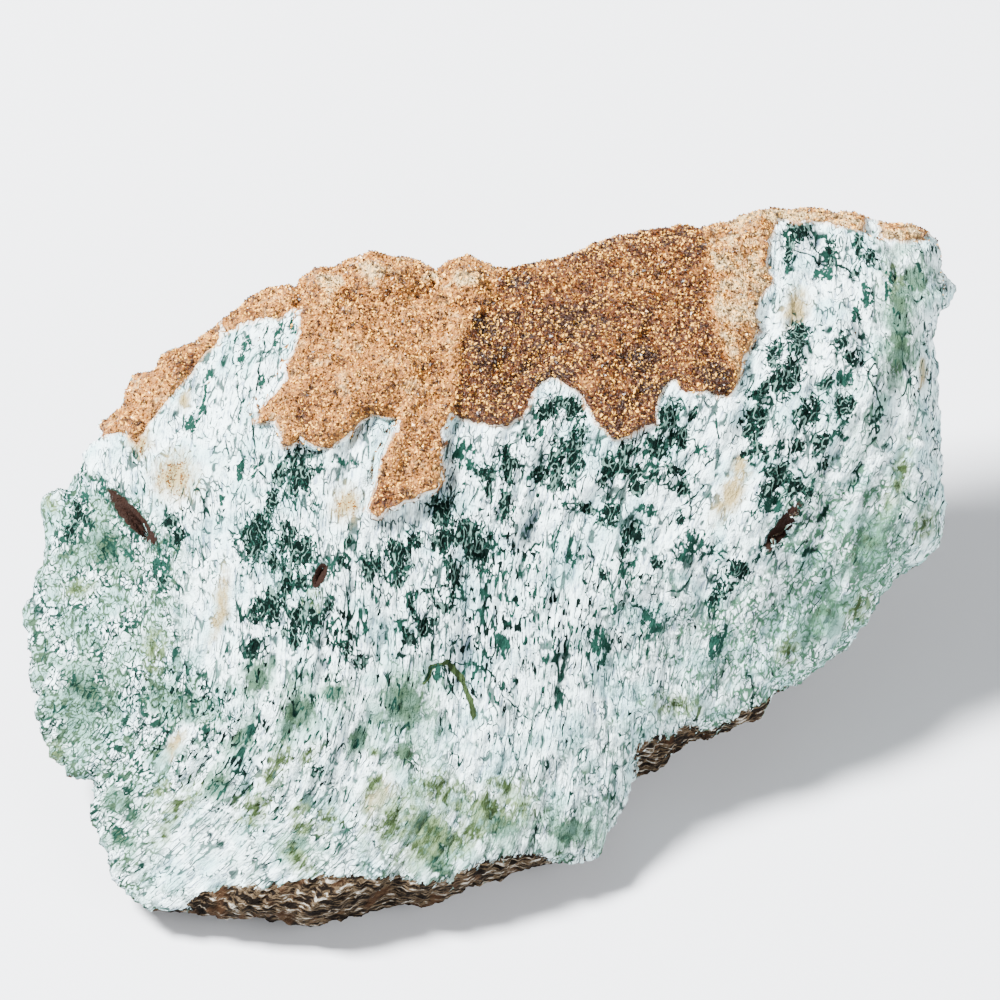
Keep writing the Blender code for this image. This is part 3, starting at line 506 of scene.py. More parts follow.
def loop_depth(across, up, loop):
    """The distance to a closed loop, in millimetres: above 0 inside it and below 0 outside."""
    inside = np.zeros(len(across), dtype=bool)
    for (x0, y0), (x1, y1) in zip(loop, loop[1:] + loop[:1]):
        if y0 != y1:
            inside ^= ((up < y0) != (up < y1)) & (across < x0 + (up - y0) * (x1 - x0) / (y1 - y0))
    gap, _ = line_gap(across, up, loop + loop[:1])
    return np.where(inside, gap, -gap)


def beyond(across, up, line):
    """How far right of an upward line each place is, in millimetres."""
    line_across, line_up = zip(*line)
    return across - np.interp(up, line_up, line_across)


def front_share(points, normals):
    """1 on the side that the broken face is on, and 0 on the back and the underside."""
    facing = normals @ np.array(PLANE_WAY)
    return ease((facing + 0.12) / 0.3)


def back_rind(points, normals):
    """The rind's depth in millimetres on the sides that the front hides: over the top edge and beneath."""
    uneven = 4.0 * waves(points, 16.0, 4.0) + 1.6 * waves(points, 4.5, 9.0)
    over_top = points[:, 2] - 47.0 + uneven
    beneath = 14.0 * (-normals[:, 2] - 0.62) + 0.7 * uneven
    return np.clip(np.maximum(over_top, beneath), -6.0, 6.0)


def read_vectors(items, name):
    """A vector of every item of a mesh, as an array."""
    values = np.zeros(len(items) * 3, dtype=np.float32)
    items.foreach_get(name, values)
    return values.reshape(-1, 3).astype(float)


def write_points(mesh, points):
    """Move the mesh's points."""
    mesh.vertices.foreach_set("co", points.astype(np.float32).ravel())
    mesh.update()


def write_values(mesh, name, values):
    """Keep a value at each of the mesh's points, for its material to read."""
    attribute = mesh.attributes.new(name, "FLOAT", "POINT")
    attribute.data.foreach_set("value", values.astype(np.float32))


def finished_mesh(piece, name):
    """The piece's mesh with its modifiers applied, under a new name."""
    bpy.context.view_layer.update()
    evaluated = piece.evaluated_get(bpy.context.evaluated_depsgraph_get())
    mesh = bpy.data.meshes.new_from_object(evaluated)
    mesh.name = name
    return mesh


def fine_skin(spacing):
    """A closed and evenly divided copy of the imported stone, in millimetres."""
    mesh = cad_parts[NODE].data.copy()
    welded = bmesh.new()
    welded.from_mesh(mesh)
    bmesh.ops.remove_doubles(welded, verts=welded.verts[:], dist=TINY)
    bmesh.ops.scale(welded, vec=(1.0 / MM,) * 3, verts=welded.verts[:])
    welded.to_mesh(mesh)
    welded.free()
    mesh.materials.clear()
    piece = bpy.data.objects.new("skin", mesh)
    bpy.context.scene.collection.objects.link(piece)
    even = piece.modifiers.new("even", "REMESH")
    even.mode = "VOXEL"
    even.voxel_size = spacing / MM
    soft = piece.modifiers.new("soft", "SMOOTH")
    soft.factor = 0.5
    soft.iterations = SMOOTH_PASSES
    skin = finished_mesh(piece, "skin")
    bpy.data.objects.remove(piece, do_unlink=True)
    bpy.data.meshes.remove(mesh)
    return skin


def front_rind(across, up):
    """The rind's depth in millimetres on the front: above 0 on the rind."""
    depth = loop_depth(across, up, TOP_RIND)
    for loop in EDGE_RINDS:
        depth = np.maximum(depth, loop_depth(across, up, loop))
    return depth


def lower_rind(across, up):
    """The depth in millimetres of the dark rind along the stone's lower edge."""
    return np.max([loop_depth(across, up, loop) for loop in LOWER_RINDS], axis=0)


def surface_rise(points, normals, sizes):
    """How far each point stands out, and the part of that which makes hollows, in millimetres."""
    across, up, out = plane_places(points)
    run = run_coordinates(across, up, out)
    across, up = crumbled(across, up)
    front = front_share(points, normals)
    fine = blend_near(FINE_MOSS, FINE_REACH, across, up)
    even = 0.25 + 0.75 * fine[:, 0]

    crest = ridges(run, (2.4, 9.0, 4.0)) * (1.0 - 0.6 * even) + 0.6 * even * ridges(points, 3.4, 5.0)
    fibre = ridges(run, (1.0, 4.2, 1.8), 3.0) * (1.0 - 0.5 * even) + 0.5 * even * ridges(points, 1.5, 2.0)
    flake = waves(run, (4.6, 10.0, 5.0), 8.0) * 4.0
    flake = np.floor(flake) + ease((flake - np.floor(flake)) / 0.25)
    crumb = waves(points, 1.15, 1.0) + 0.6 * waves(points, 0.62, 6.0)
    broken = (
        sizes.ridges / MM * crest
        + sizes.fibres / MM * fibre
        + sizes.crumbs / MM * crumb
        + 0.32 * flake
    )
    lumps = 0.45 * ridges(points, 4.2, 7.0) + 0.3 * waves(points, 1.9, 3.0)
    grained = lumps + sizes.grains / MM * (waves(points, 0.85, 11.0) + 0.6 * waves(points, 0.5, 12.0))

    depth, slot_rise = slot_depth(*plane_places(points)[:2])
    slot = ease(depth / 0.3 + 0.5) * front
    broken = broken * (1.0 - slot) + slot_rise * slot
    rind = front * front_rind(across, up) + (1.0 - front) * back_rind(points, normals)
    on_rind = ease(rind / 0.35 + 0.5)
    ledge = 0.4 * ease(0.5 - beyond(across, up, LEFT_LEDGE) / 0.5)
    rise = on_rind * (sizes.rind_rise / MM + ledge + grained) + (1.0 - on_rind) * broken
    return rise, on_rind * grained + (1.0 - on_rind) * broken


def add_stone_marks(mesh):
    """Give the skin the values that its material draws the moss, the rind and the stains from."""
    points = read_vectors(mesh.vertices, "co")
    normals = read_vectors(mesh.vertices, "normal")
    across, up, out = plane_places(points)
    angle = run_angle(across, up)
    front = front_share(points, normals)
    run = run_coordinates(across, up, out)
    slots, _ = slot_depth(across, up)
    across, up = crumbled(across, up)
    fine = blend_near(FINE_MOSS, FINE_REACH, across, up)
    under = ease((-normals[:, 2] - 0.35) / 0.4)

    def on_front(values, elsewhere):
        return front * values + (1.0 - front) * elsewhere

    def patches(places, size, turn, height, drop):
        """How deep each place is in the nearest clump. Soft waves stand for it on the hidden sides."""
        return on_front(clumps(places, across, up, angle), waves(points, size, turn) * height - drop)

    rings = np.max([0.8 - np.abs(np.hypot(across - x, up - y) - radius) / 0.4
                    for x, y, radius in MOSS_RINGS], axis=0)
    dark = np.maximum(clumps(DARK_MOSS, across, up, angle) + 0.08, rings)
    gap, side = threads(THREADS, across, up)
    olive_gap, olive_side = threads(OLIVE_THREADS, across, up)

    rind = on_front(front_rind(across, up), back_rind(points, normals))
    golden = ease(beyond(across, up, LEFT_LEDGE) / 2.0 + 0.5)
    pale = ease(beyond(across, up, RIGHT_LEDGE) / 2.0 + 0.5)
    golden = golden * (1.0 - pale)
    # Darker rind in the stains, and painted shadow along the left ledge.
    stain_and_shadow = np.clip(clumps(RIND_STAINS_AND_SHADOWS, across, up, np.zeros(len(across))) * 1.4, 0.0, 1.0)
    light = np.clip(clumps(RIND_LIGHTS, across, up, np.zeros(len(across))) * 1.4, 0.0, 1.0)
    tone = 0.12 + 0.6 * golden + 0.45 * stain_and_shadow - 0.8 * light - 0.32 * pale
    marks = {
        "rind": rind,
        "lower_rind": np.maximum(lower_rind(across, up) * front - 6.0 * (1.0 - front), 8.0 * (under - 0.5)),
        "tone": on_front(tone, 0.45 + 0.5 * waves(points, 11.0, 41.0)),
        "dark_moss": on_front(dark, waves(points, 9.0, 21.0) * 1.6 - 1.0),
        "pale_moss": patches(PALE_MOSS, 9.0, 21.0, 1.6, 0.9),
        "thread_gap": on_front(gap, FAR),
        "thread_side": side,
        "olive_gap": on_front(olive_gap, FAR),
        "olive_side": olive_side,
        "clouds": patches(CLOUDS, 8.0, 51.0, 2.0, 1.3),
        "olives": patches(OLIVES, 6.0, 61.0, 1.8, 1.2),
        "creams": patches(CREAMS, 10.0, 71.0, 1.6, 0.9),
        "specks": on_front(clumps(CREAM_SPECKS, across, up, angle), -1.0),
        "milky": patches(MILKY, 13.0, 31.0, 1.8, 0.0),
        "curls": on_front(fine[:, 0], 0.75),
        "dashes": on_front(fine[:, 1], 0.35),
        "slots": on_front(slots, -1.0),
    }
    for name, values in marks.items():
        write_values(mesh, name, values)
    attribute = mesh.attributes.new("run", "FLOAT_VECTOR", "POINT")
    attribute.data.foreach_set("vector", run.astype(np.float32).ravel())


class Tree:
    """Adds nodes to a shader or geometry tree, and joins them."""

    def __init__(self, tree):
        self.tree = tree

    def put(self, socket, value):
        """Give a socket a value, or join it to another node's output."""
        if isinstance(value, bpy.types.NodeSocket):
            self.tree.links.new(value, socket)
        else:
            socket.default_value = value

    def add(self, kind, inputs, **settings):
        """Add a node of this kind. Inputs are given by their names or numbers."""
        node = self.tree.nodes.new(kind)
        for name, value in settings.items():
            setattr(node, name, value)
        for name, value in inputs.items():
            self.put(node.inputs[name], value)
        return node

    def mark(self, name):
        """A value that add_stone_marks wrote."""
        return self.add("ShaderNodeAttribute", {}, attribute_name=name).outputs["Fac"]

    def run(self):
        """The coordinates that bend with the break, in millimetres."""
        return self.add("ShaderNodeAttribute", {}, attribute_name="run").outputs["Vector"]

    def object_place(self):
        """The place on the piece, in millimetres."""
        place = self.add("ShaderNodeTexCoord", {}).outputs["Object"]
        return self.add("ShaderNodeVectorMath", {0: place, "Scale": 1.0 / MM}, operation="SCALE").outputs[0]

    def shrink(self, place, sizes):
        """Coordinates divided by a size for each way."""
        factors = tuple(1.0 / size for size in sizes)
        return self.add("ShaderNodeVectorMath", {0: place, 1: factors}, operation="MULTIPLY").outputs[0]

    def noise(self, place, size, detail=1.0, roughness=0.5, bend=0.0):
        """Soft noise of about this size, or of a size for each way, from 0 to 1 around 0.5."""
        if isinstance(size, tuple):
            place, size = self.shrink(place, size), 1.0
        inputs = {"Vector": place, "Scale": 1.0 / size, "Detail": detail, "Roughness": roughness,
                  "Distortion": bend}
        return self.add("ShaderNodeTexNoise", inputs).outputs["Fac"]

    def math(self, operation, first, second=0.0):
        """One step of arithmetic."""
        return self.add("ShaderNodeMath", {0: first, 1: second}, operation=operation).outputs[0]

    def times(self, first, second):
        """The product of two values."""
        return self.math("MULTIPLY", first, second)

    def plus(self, first, second):
        """The sum of two values."""
        return self.math("ADD", first, second)

    def less(self, first, second):
        """The first value less the second."""
        return self.math("SUBTRACT", first, second)

    def step(self, value, low, high):
        """A smooth step from 0 at low to 1 at high."""
        inputs = {"Value": value, "From Min": low, "From Max": high}
        return self.add("ShaderNodeMapRange", inputs, interpolation_type="SMOOTHSTEP").outputs[0]

    def mix(self, share, first, second):
        """A blend of two colours."""
        node = self.tree.nodes.new("ShaderNodeMix")
        node.data_type = "RGBA"
        for index, value in ((0, share), (6, first), (7, second)):
            if index > 0 and not isinstance(value, bpy.types.NodeSocket):
                value = (*value[:3], 1.0)
            self.put(node.inputs[index], value)
        return node.outputs[2]

    def veins(self, place, sizes, half_width, bend=0.0):
        """Thin curling lines of this half width in millimetres, about as far apart as the first size."""
        value = self.noise(place, sizes, detail=0.0, bend=bend)
        gap = self.math("ABSOLUTE", self.less(value, 0.5))
        edge = 0.65 * half_width / min(sizes)
        return self.step(gap, edge, 0.4 * edge)

    def frayed(self, name, fray, amount):
        """A value that add_stone_marks wrote, with a frayed edge."""
        return self.plus(self.mark(name), self.times(fray, amount))

    def random_value(self, kind, seed, low, high):
        """A random value of this kind for each crystal."""
        index = ("FLOAT_VECTOR", "FLOAT", "INT").index(kind)
        inputs = {2 * index: low, 2 * index + 1: high, "Seed": seed}
        return self.add("FunctionNodeRandomValue", inputs, data_type=kind).outputs[index]

    def thread(self, name, half_width, fray, seen=1.0):
        """The thin lines that add_stone_marks wrote, with a frayed edge."""
        width = self.plus(half_width, self.times(fray, 1.2 * half_width))
        gap = self.less(self.math("ABSOLUTE", self.mark(name + "_side")), width)
        near = self.step(self.mark(name + "_gap"), 0.9, 0.5)
        return self.times(self.step(gap, 0.06, -0.06), self.times(near, seen))


def new_group(name, kind, inputs, outputs):
    """A node group of this kind with these sockets, and the tree to build it with."""
    group = bpy.data.node_groups.new(name, kind)
    for socket, holds, default in inputs:
        made = group.interface.new_socket(socket, in_out="INPUT", socket_type="NodeSocket" + holds)
        if default is not None:
            made.default_value = default
    for socket, holds in outputs:
        group.interface.new_socket(socket, in_out="OUTPUT", socket_type="NodeSocket" + holds)
    tree = Tree(group)
    return group, tree, tree.add("NodeGroupInput", {}).outputs, tree.add("NodeGroupOutput", {}).inputs


def rind_group(colours):
    """The sugary brown of the rind, which the stone and its crystals share, with painted glints on some
    grains and painted shade on others, in crevices and between grains.
    """
    group, tree, given, made = new_group(
        "Rind tint", "ShaderNodeTree",
        [("Place", "Vector", None), ("Tone", "Float", 0.5), ("Sparkle", "Float", 0.5)],
        [("Colour", "Color"), ("Gap", "Float")],
    )
    broad = tree.less(tree.noise(given["Place"], 3.6, detail=2.0), 0.5)
    clot = tree.less(tree.noise(given["Place"], 1.1), 0.5)
    tone = tree.plus(given["Tone"], tree.times(broad, 1.6))
    tone = tree.plus(tone, tree.times(clot, 0.9))
    body = tree.mix(tree.step(tone, 0.0, 0.75), colours.tan, colours.golden)
    body = tree.mix(tree.times(tree.step(tone, 0.65, 1.3), 0.85), body, colours.umber_and_shade)
    body = tree.mix(tree.step(tone, 0.05, -0.5), body, colours.pale_rind)
    # Painted shade in the crevices between clumps of grains.
    crevice_shade = tree.step(tree.noise(given["Place"], 1.6, detail=2.0, roughness=0.6), 0.45, 0.35)
    body = tree.mix(tree.times(crevice_shade, 0.75), body, colours.umber_and_shade)
    # Painted highlights and painted shadow on the grains, set by the grain light value.
    painted_highlight = tree.mix(0.8, body, colours.glint)
    shadow = tree.mix(0.9, body, colours.umber_and_shade)
    # Painted shade in the gaps between the grains.
    gap = tree.step(tree.noise(given["Place"], 0.5), 0.52, 0.36)
    body = tree.mix(tree.step(given["Sparkle"], 0.55, 0.85), body, painted_highlight)
    body = tree.mix(tree.step(given["Sparkle"], 0.48, 0.22), body, shadow)
    tree.put(made["Colour"], body)
    tree.put(made["Gap"], gap)
    return group


def chalk_group(colours):
    """The white chalcedony with its fine fibres, painted shade in their low parts, painted cool shade in its
    hollows, and thin dark lines.
    """
    group, tree, given, made = new_group(
        "Chalk tint", "ShaderNodeTree",
        [("Run", "Vector", None), ("Place", "Vector", None), ("Hollow", "Float", 0.0)],
        [("Colour", "Color"), ("Height", "Float")],
    )
    run = given["Run"]
    fibre = tree.noise(run, (0.4, 2.4, 1.0), detail=2.0, roughness=0.6)
    strand = tree.veins(run, (1.5, 11.0, 3.0), 0.10, bend=0.2)
    hair = tree.veins(run, (0.8, 1.9, 1.0), 0.06, bend=0.35)
    broad = tree.noise(given["Place"], 6.0, detail=2.0)
    crumb = tree.noise(given["Place"], 0.35, detail=2.0, roughness=0.6)
    cool = tree.times(tree.step(broad, 0.42, 0.66), 0.7)
    body = tree.mix(cool, colours.chalk, colours.cool)
    # Painted shade where the fibres are low.
    body = tree.mix(tree.times(tree.step(fibre, 0.5, 0.3), 0.8), body, colours.shade)
    hollow = tree.plus(given["Hollow"], tree.times(tree.less(fibre, 0.5), -1.2))
    # Painted shade in the hollows of the white and in the low parts of the fibres.
    body = tree.mix(tree.times(tree.step(hollow, 0.25, 1.2), 0.8), body, colours.hollow_shade)
    seen = tree.step(tree.noise(run, 2.0), 0.41, 0.51)
    # Thin dark lines: partly green squiggles, partly painted shade in the crevices that they cut into the
    # height.
    lines = tree.times(tree.math("MAXIMUM", strand, hair), seen)
    body = tree.mix(tree.times(lines, 0.95), body, colours.line)
    height = tree.plus(tree.times(fibre, 1.2), crumb)
    height = tree.less(height, tree.times(lines, 0.5))
    tree.put(made["Colour"], body)
    tree.put(made["Height"], height)
    return group


def use_group(tree, group, inputs):
    """Place a node group in a tree."""
    node = tree.tree.nodes.new("ShaderNodeGroup")
    node.node_tree = group
    for name, value in inputs.items():
        tree.put(node.inputs[name], value)
    return node


def new_material(name):
    """A material with its Principled shader, and the tree to build it with."""
    material = bpy.data.materials.new(name)
    material.use_nodes = True
    tree = Tree(material.node_tree)
    return material, tree, material.node_tree.nodes["Principled BSDF"]


def stone_material(colours, chalk, rind):
    """The broken stone: chalk with moss, stains and slots, under the rind."""
    material, tree, shader = new_material("broken_agate")
    run = tree.run()
    place = tree.object_place()
    white = use_group(tree, chalk, {"Run": run, "Place": place, "Hollow": tree.mark("hollow")})
    body = white.outputs["Colour"]

    rind_depth = tree.mark("rind")
    milky = tree.step(tree.mark("milky"), -0.2, 0.4)
    milky = tree.math("MAXIMUM", milky, tree.step(rind_depth, -1.8, -0.8))
    clear = tree.less(1.0, tree.times(milky, 0.85))
    fray = tree.less(tree.noise(run, (0.7, 1.7, 0.9), detail=2.0), 0.5)
    specks = tree.less(tree.noise(place, 0.34), 0.5)
    fleck = tree.less(tree.noise(run, (0.28, 0.55, 0.3)), 0.5)
    patchy = tree.noise(place, 3.0)
    ragged = tree.plus(tree.times(fray, 2.9), tree.times(fleck, 1.6))

    cloud = tree.frayed("clouds", ragged, 0.5)
    halo = tree.times(tree.step(tree.mark("clouds"), -2.2, 0.2), tree.step(patchy, 0.3, 0.6))
    body = tree.mix(tree.times(halo, 0.75), body, colours.haze)
    body = tree.mix(tree.step(cloud, -0.4, 0.25), body, colours.cloud)
    cream = tree.frayed("creams", fray, 1.2)
    body = tree.mix(tree.step(cream, -0.6, 0.7), body, colours.cream)
    speck = tree.step(tree.plus(specks, tree.times(fray, 0.8)), 0.08, 0.14)
    speck = tree.times(speck, tree.step(tree.mark("specks"), 0.0, 0.4))
    body = tree.mix(speck, body, colours.speck)

    here = tree.noise(run, 2.2)
    gate = tree.noise(run, (1.0, 1.4, 1.0))
    lace = tree.veins(run, (1.35, 2.2, 1.3), 0.17, bend=0.5)
    lace = tree.times(lace, tree.step(gate, 0.38, 0.46))
    small = tree.veins(run, (0.75, 1.2, 0.8), 0.12, bend=0.5)
    small = tree.times(small, tree.step(gate, 0.62, 0.52))
    lace = tree.math("MAXIMUM", lace, small)
    lace = tree.times(lace, tree.step(tree.plus(tree.mark("curls"), here), 0.7, 1.2))
    lace = tree.times(lace, clear)
    tinge = tree.times(tree.mark("curls"), tree.step(patchy, 0.35, 0.65))
    body = tree.mix(tree.times(tinge, 0.8), body, colours.tinge)
    lace_tint = tree.mix(tree.step(patchy, 0.4, 0.62), colours.lace, colours.cloud)
    rightward = tree.step(tree.add("ShaderNodeSeparateXYZ", {0: place}).outputs["X"], 15.0, 40.0)
    body = tree.mix(lace, body, tree.mix(rightward, lace_tint, colours.pale_lace))

    strand = tree.veins(run, (1.9, 8.0, 2.5), 0.10, bend=0.35)
    seen = tree.plus(tree.noise(run, 3.0), tree.times(tree.mark("dashes"), 0.16))
    strand = tree.times(tree.times(strand, tree.step(seen, 0.54, 0.64)), clear)
    body = tree.mix(strand, body, tree.mix(patchy, colours.moss, colours.fern))

    dash = tree.noise(run, (0.5, 1.6, 0.7), bend=0.5)
    bar = tree.less(0.78, tree.times(tree.mark("dashes"), 0.20))
    bar = tree.less(bar, tree.times(patchy, 0.08))
    dash = tree.times(tree.step(tree.less(dash, bar), 0.0, 0.05), clear)
    body = tree.mix(dash, body, tree.mix(tree.step(here, 0.42, 0.6), colours.moss, colours.fern))

    olive = tree.frayed("olives", ragged, 0.9)
    olive_halo = tree.times(tree.step(tree.mark("olives"), -1.6, 0.3), tree.step(gate, 0.35, 0.6))
    body = tree.mix(tree.times(olive_halo, 0.7), body, colours.olive_haze)
    body = tree.mix(tree.step(olive, -0.2, 0.8), body, colours.olive)
    body = tree.mix(tree.thread("olive", 0.4, fray), body, colours.olive)

    near = tree.mark("dark_moss")
    link = tree.veins(run, (1.25, 2.1, 1.2), 0.15, bend=0.3)
    reach = tree.plus(near, tree.times(tree.less(here, 0.5), 5.0))
    link = tree.times(link, tree.step(reach, -0.9, -0.3))
    link = tree.times(link, tree.step(rind_depth, -0.9, -1.4))
    body = tree.mix(link, body, tree.mix(patchy, colours.moss, colours.fern))
    pale = tree.plus(tree.math("MINIMUM", tree.mark("pale_moss"), 0.35), ragged)
    body = tree.mix(tree.step(pale, -0.1, 0.25), body, colours.fern)
    body = tree.mix(tree.thread("thread", 0.14, fray, tree.step(gate, 0.38, 0.46)), body,
                    tree.mix(patchy, colours.moss, colours.fern))
    deep = tree.plus(tree.math("MINIMUM", near, 0.5), tree.times(ragged, 0.85))
    body = tree.mix(tree.step(deep, -0.06, 0.08), body, colours.fern)
    dark = tree.step(deep, 0.04, 0.16)
    body = tree.mix(dark, body, tree.mix(tree.step(fleck, 0.06, 0.2), colours.moss, colours.fern))
    parts = tree.times(tree.veins(run, (0.8, 1.7, 0.9), 0.09, bend=0.4), tree.step(fray, -0.1, 0.1))
    body = tree.mix(tree.times(tree.times(parts, dark), 0.6), body, colours.parting)

    slot = tree.step(tree.frayed("slots", fray, 0.5), -0.05, 0.12)
    slot_rim = tree.step(tree.plus(tree.mark("slots"), ragged), -0.4, 0.1)
    body = tree.mix(slot_rim, body, colours.fern)
    body = tree.mix(slot, body, tree.mix(tree.noise(place, 0.8), colours.slot, colours.umber_and_shade))

    edge = tree.plus(rind_depth, tree.times(fray, 0.5))
    edge = tree.plus(edge, tree.times(specks, 0.4))
    # The rind's colour, with painted glints and painted shade on its grains.
    brown = use_group(tree, rind, {"Place": place, "Tone": tree.mark("tone"),
                                   "Sparkle": tree.noise(place, 0.42, roughness=0.7)})
    blush = tree.times(tree.step(edge, -0.8, -0.2), 0.6)
    body = tree.mix(blush, body, colours.blush)
    on_rind = tree.step(edge, -0.2, -0.08)
    # Painted shade between the rind's grains.
    gap = tree.times(brown.outputs["Gap"], 0.6)
    body = tree.mix(on_rind, body, tree.mix(gap, brown.outputs["Colour"], colours.umber_and_shade))

    # The lower rind: its own layers, darkened as painted shade, with patches of painted shade.
    low = tree.frayed("lower_rind", ragged, 0.7)
    on_low = tree.step(low, -0.1, 0.2)
    layers = tree.noise(place, (2.6, 2.6, 0.42), detail=3.0, roughness=0.6)
    low_tint = tree.mix(tree.step(layers, 0.46, 0.56), colours.dark_layer, colours.brown_layer)
    low_tint = tree.mix(tree.step(layers, 0.58, 0.66), low_tint, colours.grey_layer)
    # Patches of painted shade.
    low_tint = tree.mix(tree.times(tree.step(patchy, 0.5, 0.66), 0.6), low_tint, colours.shade_layer)
    body = tree.mix(on_low, body, low_tint)

    gloss = tree.less(0.8, tree.times(on_rind, 0.3))
    grain_height = tree.times(on_rind, tree.noise(place, 0.42))
    height = tree.plus(white.outputs["Height"], tree.times(grain_height, 2.0))
    bump = tree.add("ShaderNodeBump", {"Strength": 1.0, "Distance": BUMP_HEIGHT, "Height": height})
    tree.put(shader.inputs["Base Color"], body)
    tree.put(shader.inputs["Roughness"], gloss)
    tree.put(shader.inputs["Normal"], bump.outputs["Normal"])
    tree.put(shader.inputs["Specular IOR Level"], tree.plus(0.04, tree.times(on_rind, 0.2)))
    return material


def crystal_material(rind):
    """The crystals of the rind, each a little lighter or darker than the next as painted glints and painted
    shade.
    """
    material, tree, shader = new_material("rind_crystals")
    tint = use_group(tree, rind, {"Place": tree.object_place(), "Tone": tree.mark("tone"),
                                  "Sparkle": tree.mark("sparkle")})
    tree.put(shader.inputs["Base Color"], tint.outputs["Colour"])
    tree.put(shader.inputs["Roughness"], tree.less(0.42, tree.times(tree.mark("sparkle"), 0.22)))
    shader.inputs["IOR"].default_value = QUARTZ_IOR
    shader.inputs["Specular IOR Level"].default_value = 0.2
    return material


def link_piece(name, mesh):
    """Add a finished piece at the origin."""
    piece = bpy.data.objects.new(name, mesh)
    bpy.context.scene.collection.objects.link(piece)
    return piece


def crystal_seed(sides, stretch):
    """One small blunt crystal, a metre wide, that the crystal layer repeats."""
    grain = bmesh.new()
    bmesh.ops.create_cone(grain, cap_ends=True, segments=sides, radius1=0.5, radius2=0.16, depth=stretch)
    bmesh.ops.triangulate(grain, faces=grain.faces[:])
    mesh = bpy.data.meshes.new(f"crystal_{sides}")
    grain.to_mesh(mesh)
    grain.free()
    return link_piece(mesh.name, mesh)


def crystal_tree(seeds, material):
    """The Geometry Nodes that stand crystals all over the rind."""
    group, tree, given, made = new_group(
        "Crystal layer", "GeometryNodeTree",
        [("Geometry", "Geometry", None), ("Crystal size", "Float", 0.0005),
         ("Crystals per area", "Float", 1.0), ("Seed", "Int", 0)],
        [("Geometry", "Geometry")],
    )
    shares = []
    for name, full in (("rind", 0.25), ("lower_rind", -0.4)):
        mark = tree.add("GeometryNodeInputNamedAttribute", {"Name": name}, data_type="FLOAT")
        inputs = {"Value": mark.outputs["Attribute"], "From Min": 0.0, "From Max": full}
        shares.append(tree.add("ShaderNodeMapRange", inputs).outputs[0])
    density = tree.times(tree.times(*shares), given["Crystals per area"])
    points = tree.add("GeometryNodeDistributePointsOnFaces",
                      {"Mesh": given["Geometry"], "Density": density, "Seed": given["Seed"]},
                      distribute_method="RANDOM")
    shapes = tree.tree.nodes.new("GeometryNodeJoinGeometry")
    for seed in seeds:
        shape = tree.add("GeometryNodeObjectInfo", {"Object": seed, "As Instance": True})
        tree.put(shapes.inputs["Geometry"], shape.outputs["Geometry"])
    pick = tree.random_value("INT", 3, 0, len(seeds) - 1)
    tilt = tree.random_value("FLOAT_VECTOR", 4, (-0.75, -0.75, 0.0), (0.75, 0.75, 6.28))
    turn = tree.add("FunctionNodeRotateRotation",
                    {"Rotation": points.outputs["Rotation"], "Rotate By": tilt}, rotation_space="LOCAL")
    scale = tree.times(tree.random_value("FLOAT", 5, 0.55, 1.35), given["Crystal size"])
    placed = tree.add("GeometryNodeInstanceOnPoints",
                      {"Points": points.outputs["Points"], "Instance": shapes.outputs[0],
                       "Pick Instance": True, "Instance Index": pick,
                       "Rotation": turn.outputs[0], "Scale": scale})
    # A random value for each crystal that sets its painted glint and painted shade.
    grain_light = tree.random_value("FLOAT", 6, 0.0, 1.0)
    stored = tree.add("GeometryNodeStoreNamedAttribute",
                      {"Geometry": placed.outputs[0], "Name": "sparkle", "Value": grain_light},
                      data_type="FLOAT", domain="INSTANCE")
    real = tree.add("GeometryNodeRealizeInstances", {"Geometry": stored.outputs[0]})
    done = tree.add("GeometryNodeSetMaterial", {"Geometry": real.outputs[0], "Material": material})
    tree.put(made[0], done.outputs[0])
    return group


def set_inputs(modifier, values):
    """Give a Geometry Nodes modifier its inputs by their names."""
    for item in modifier.node_group.interface.items_tree:
        if item.item_type == "SOCKET" and item.in_out == "INPUT" and item.name in values:
            modifier[item.identifier] = values[item.name]


class AGATE_OT_stone(bpy.types.Operator):
    """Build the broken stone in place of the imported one"""

    bl_idname = "agate.stone"
    bl_label = "Broken Stone"

    def execute(self, context):
        sizes = context.scene.agate_shape
        skin = fine_skin(sizes.skin)
        points = read_vectors(skin.vertices, "co")
        normals = read_vectors(skin.vertices, "normal")
        rise, relief = surface_rise(points, normals, sizes)
        points = points + normals * rise[:, None]
        points[:, 2] = np.maximum(points[:, 2], 0.0)
        write_points(skin, points)
        # The depth of the fine hollows, which the white's material darkens as painted shade.
        write_values(skin, "hollow", -relief)

        rough = link_piece("rough_skin", skin)
        fewer = rough.modifiers.new("fewer", "DECIMATE")
        fewer.ratio = min(1.0, STONE_POINTS / len(skin.vertices))
        mesh = finished_mesh(rough, "broken_stone")
        bpy.data.objects.remove(rough, do_unlink=True)
        bpy.data.meshes.remove(skin)
        add_stone_marks(mesh)
        write_points(mesh, read_vectors(mesh.vertices, "co") * MM)
        mesh.shade_smooth()

        colours = context.scene.agate_colours
        mesh.materials.append(stone_material(colours, chalk_group(colours), rind_group(colours)))
        piece = link_piece("broken_stone", mesh)
        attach(piece, BODY)
        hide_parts(NODE)
        return {"FINISHED"}


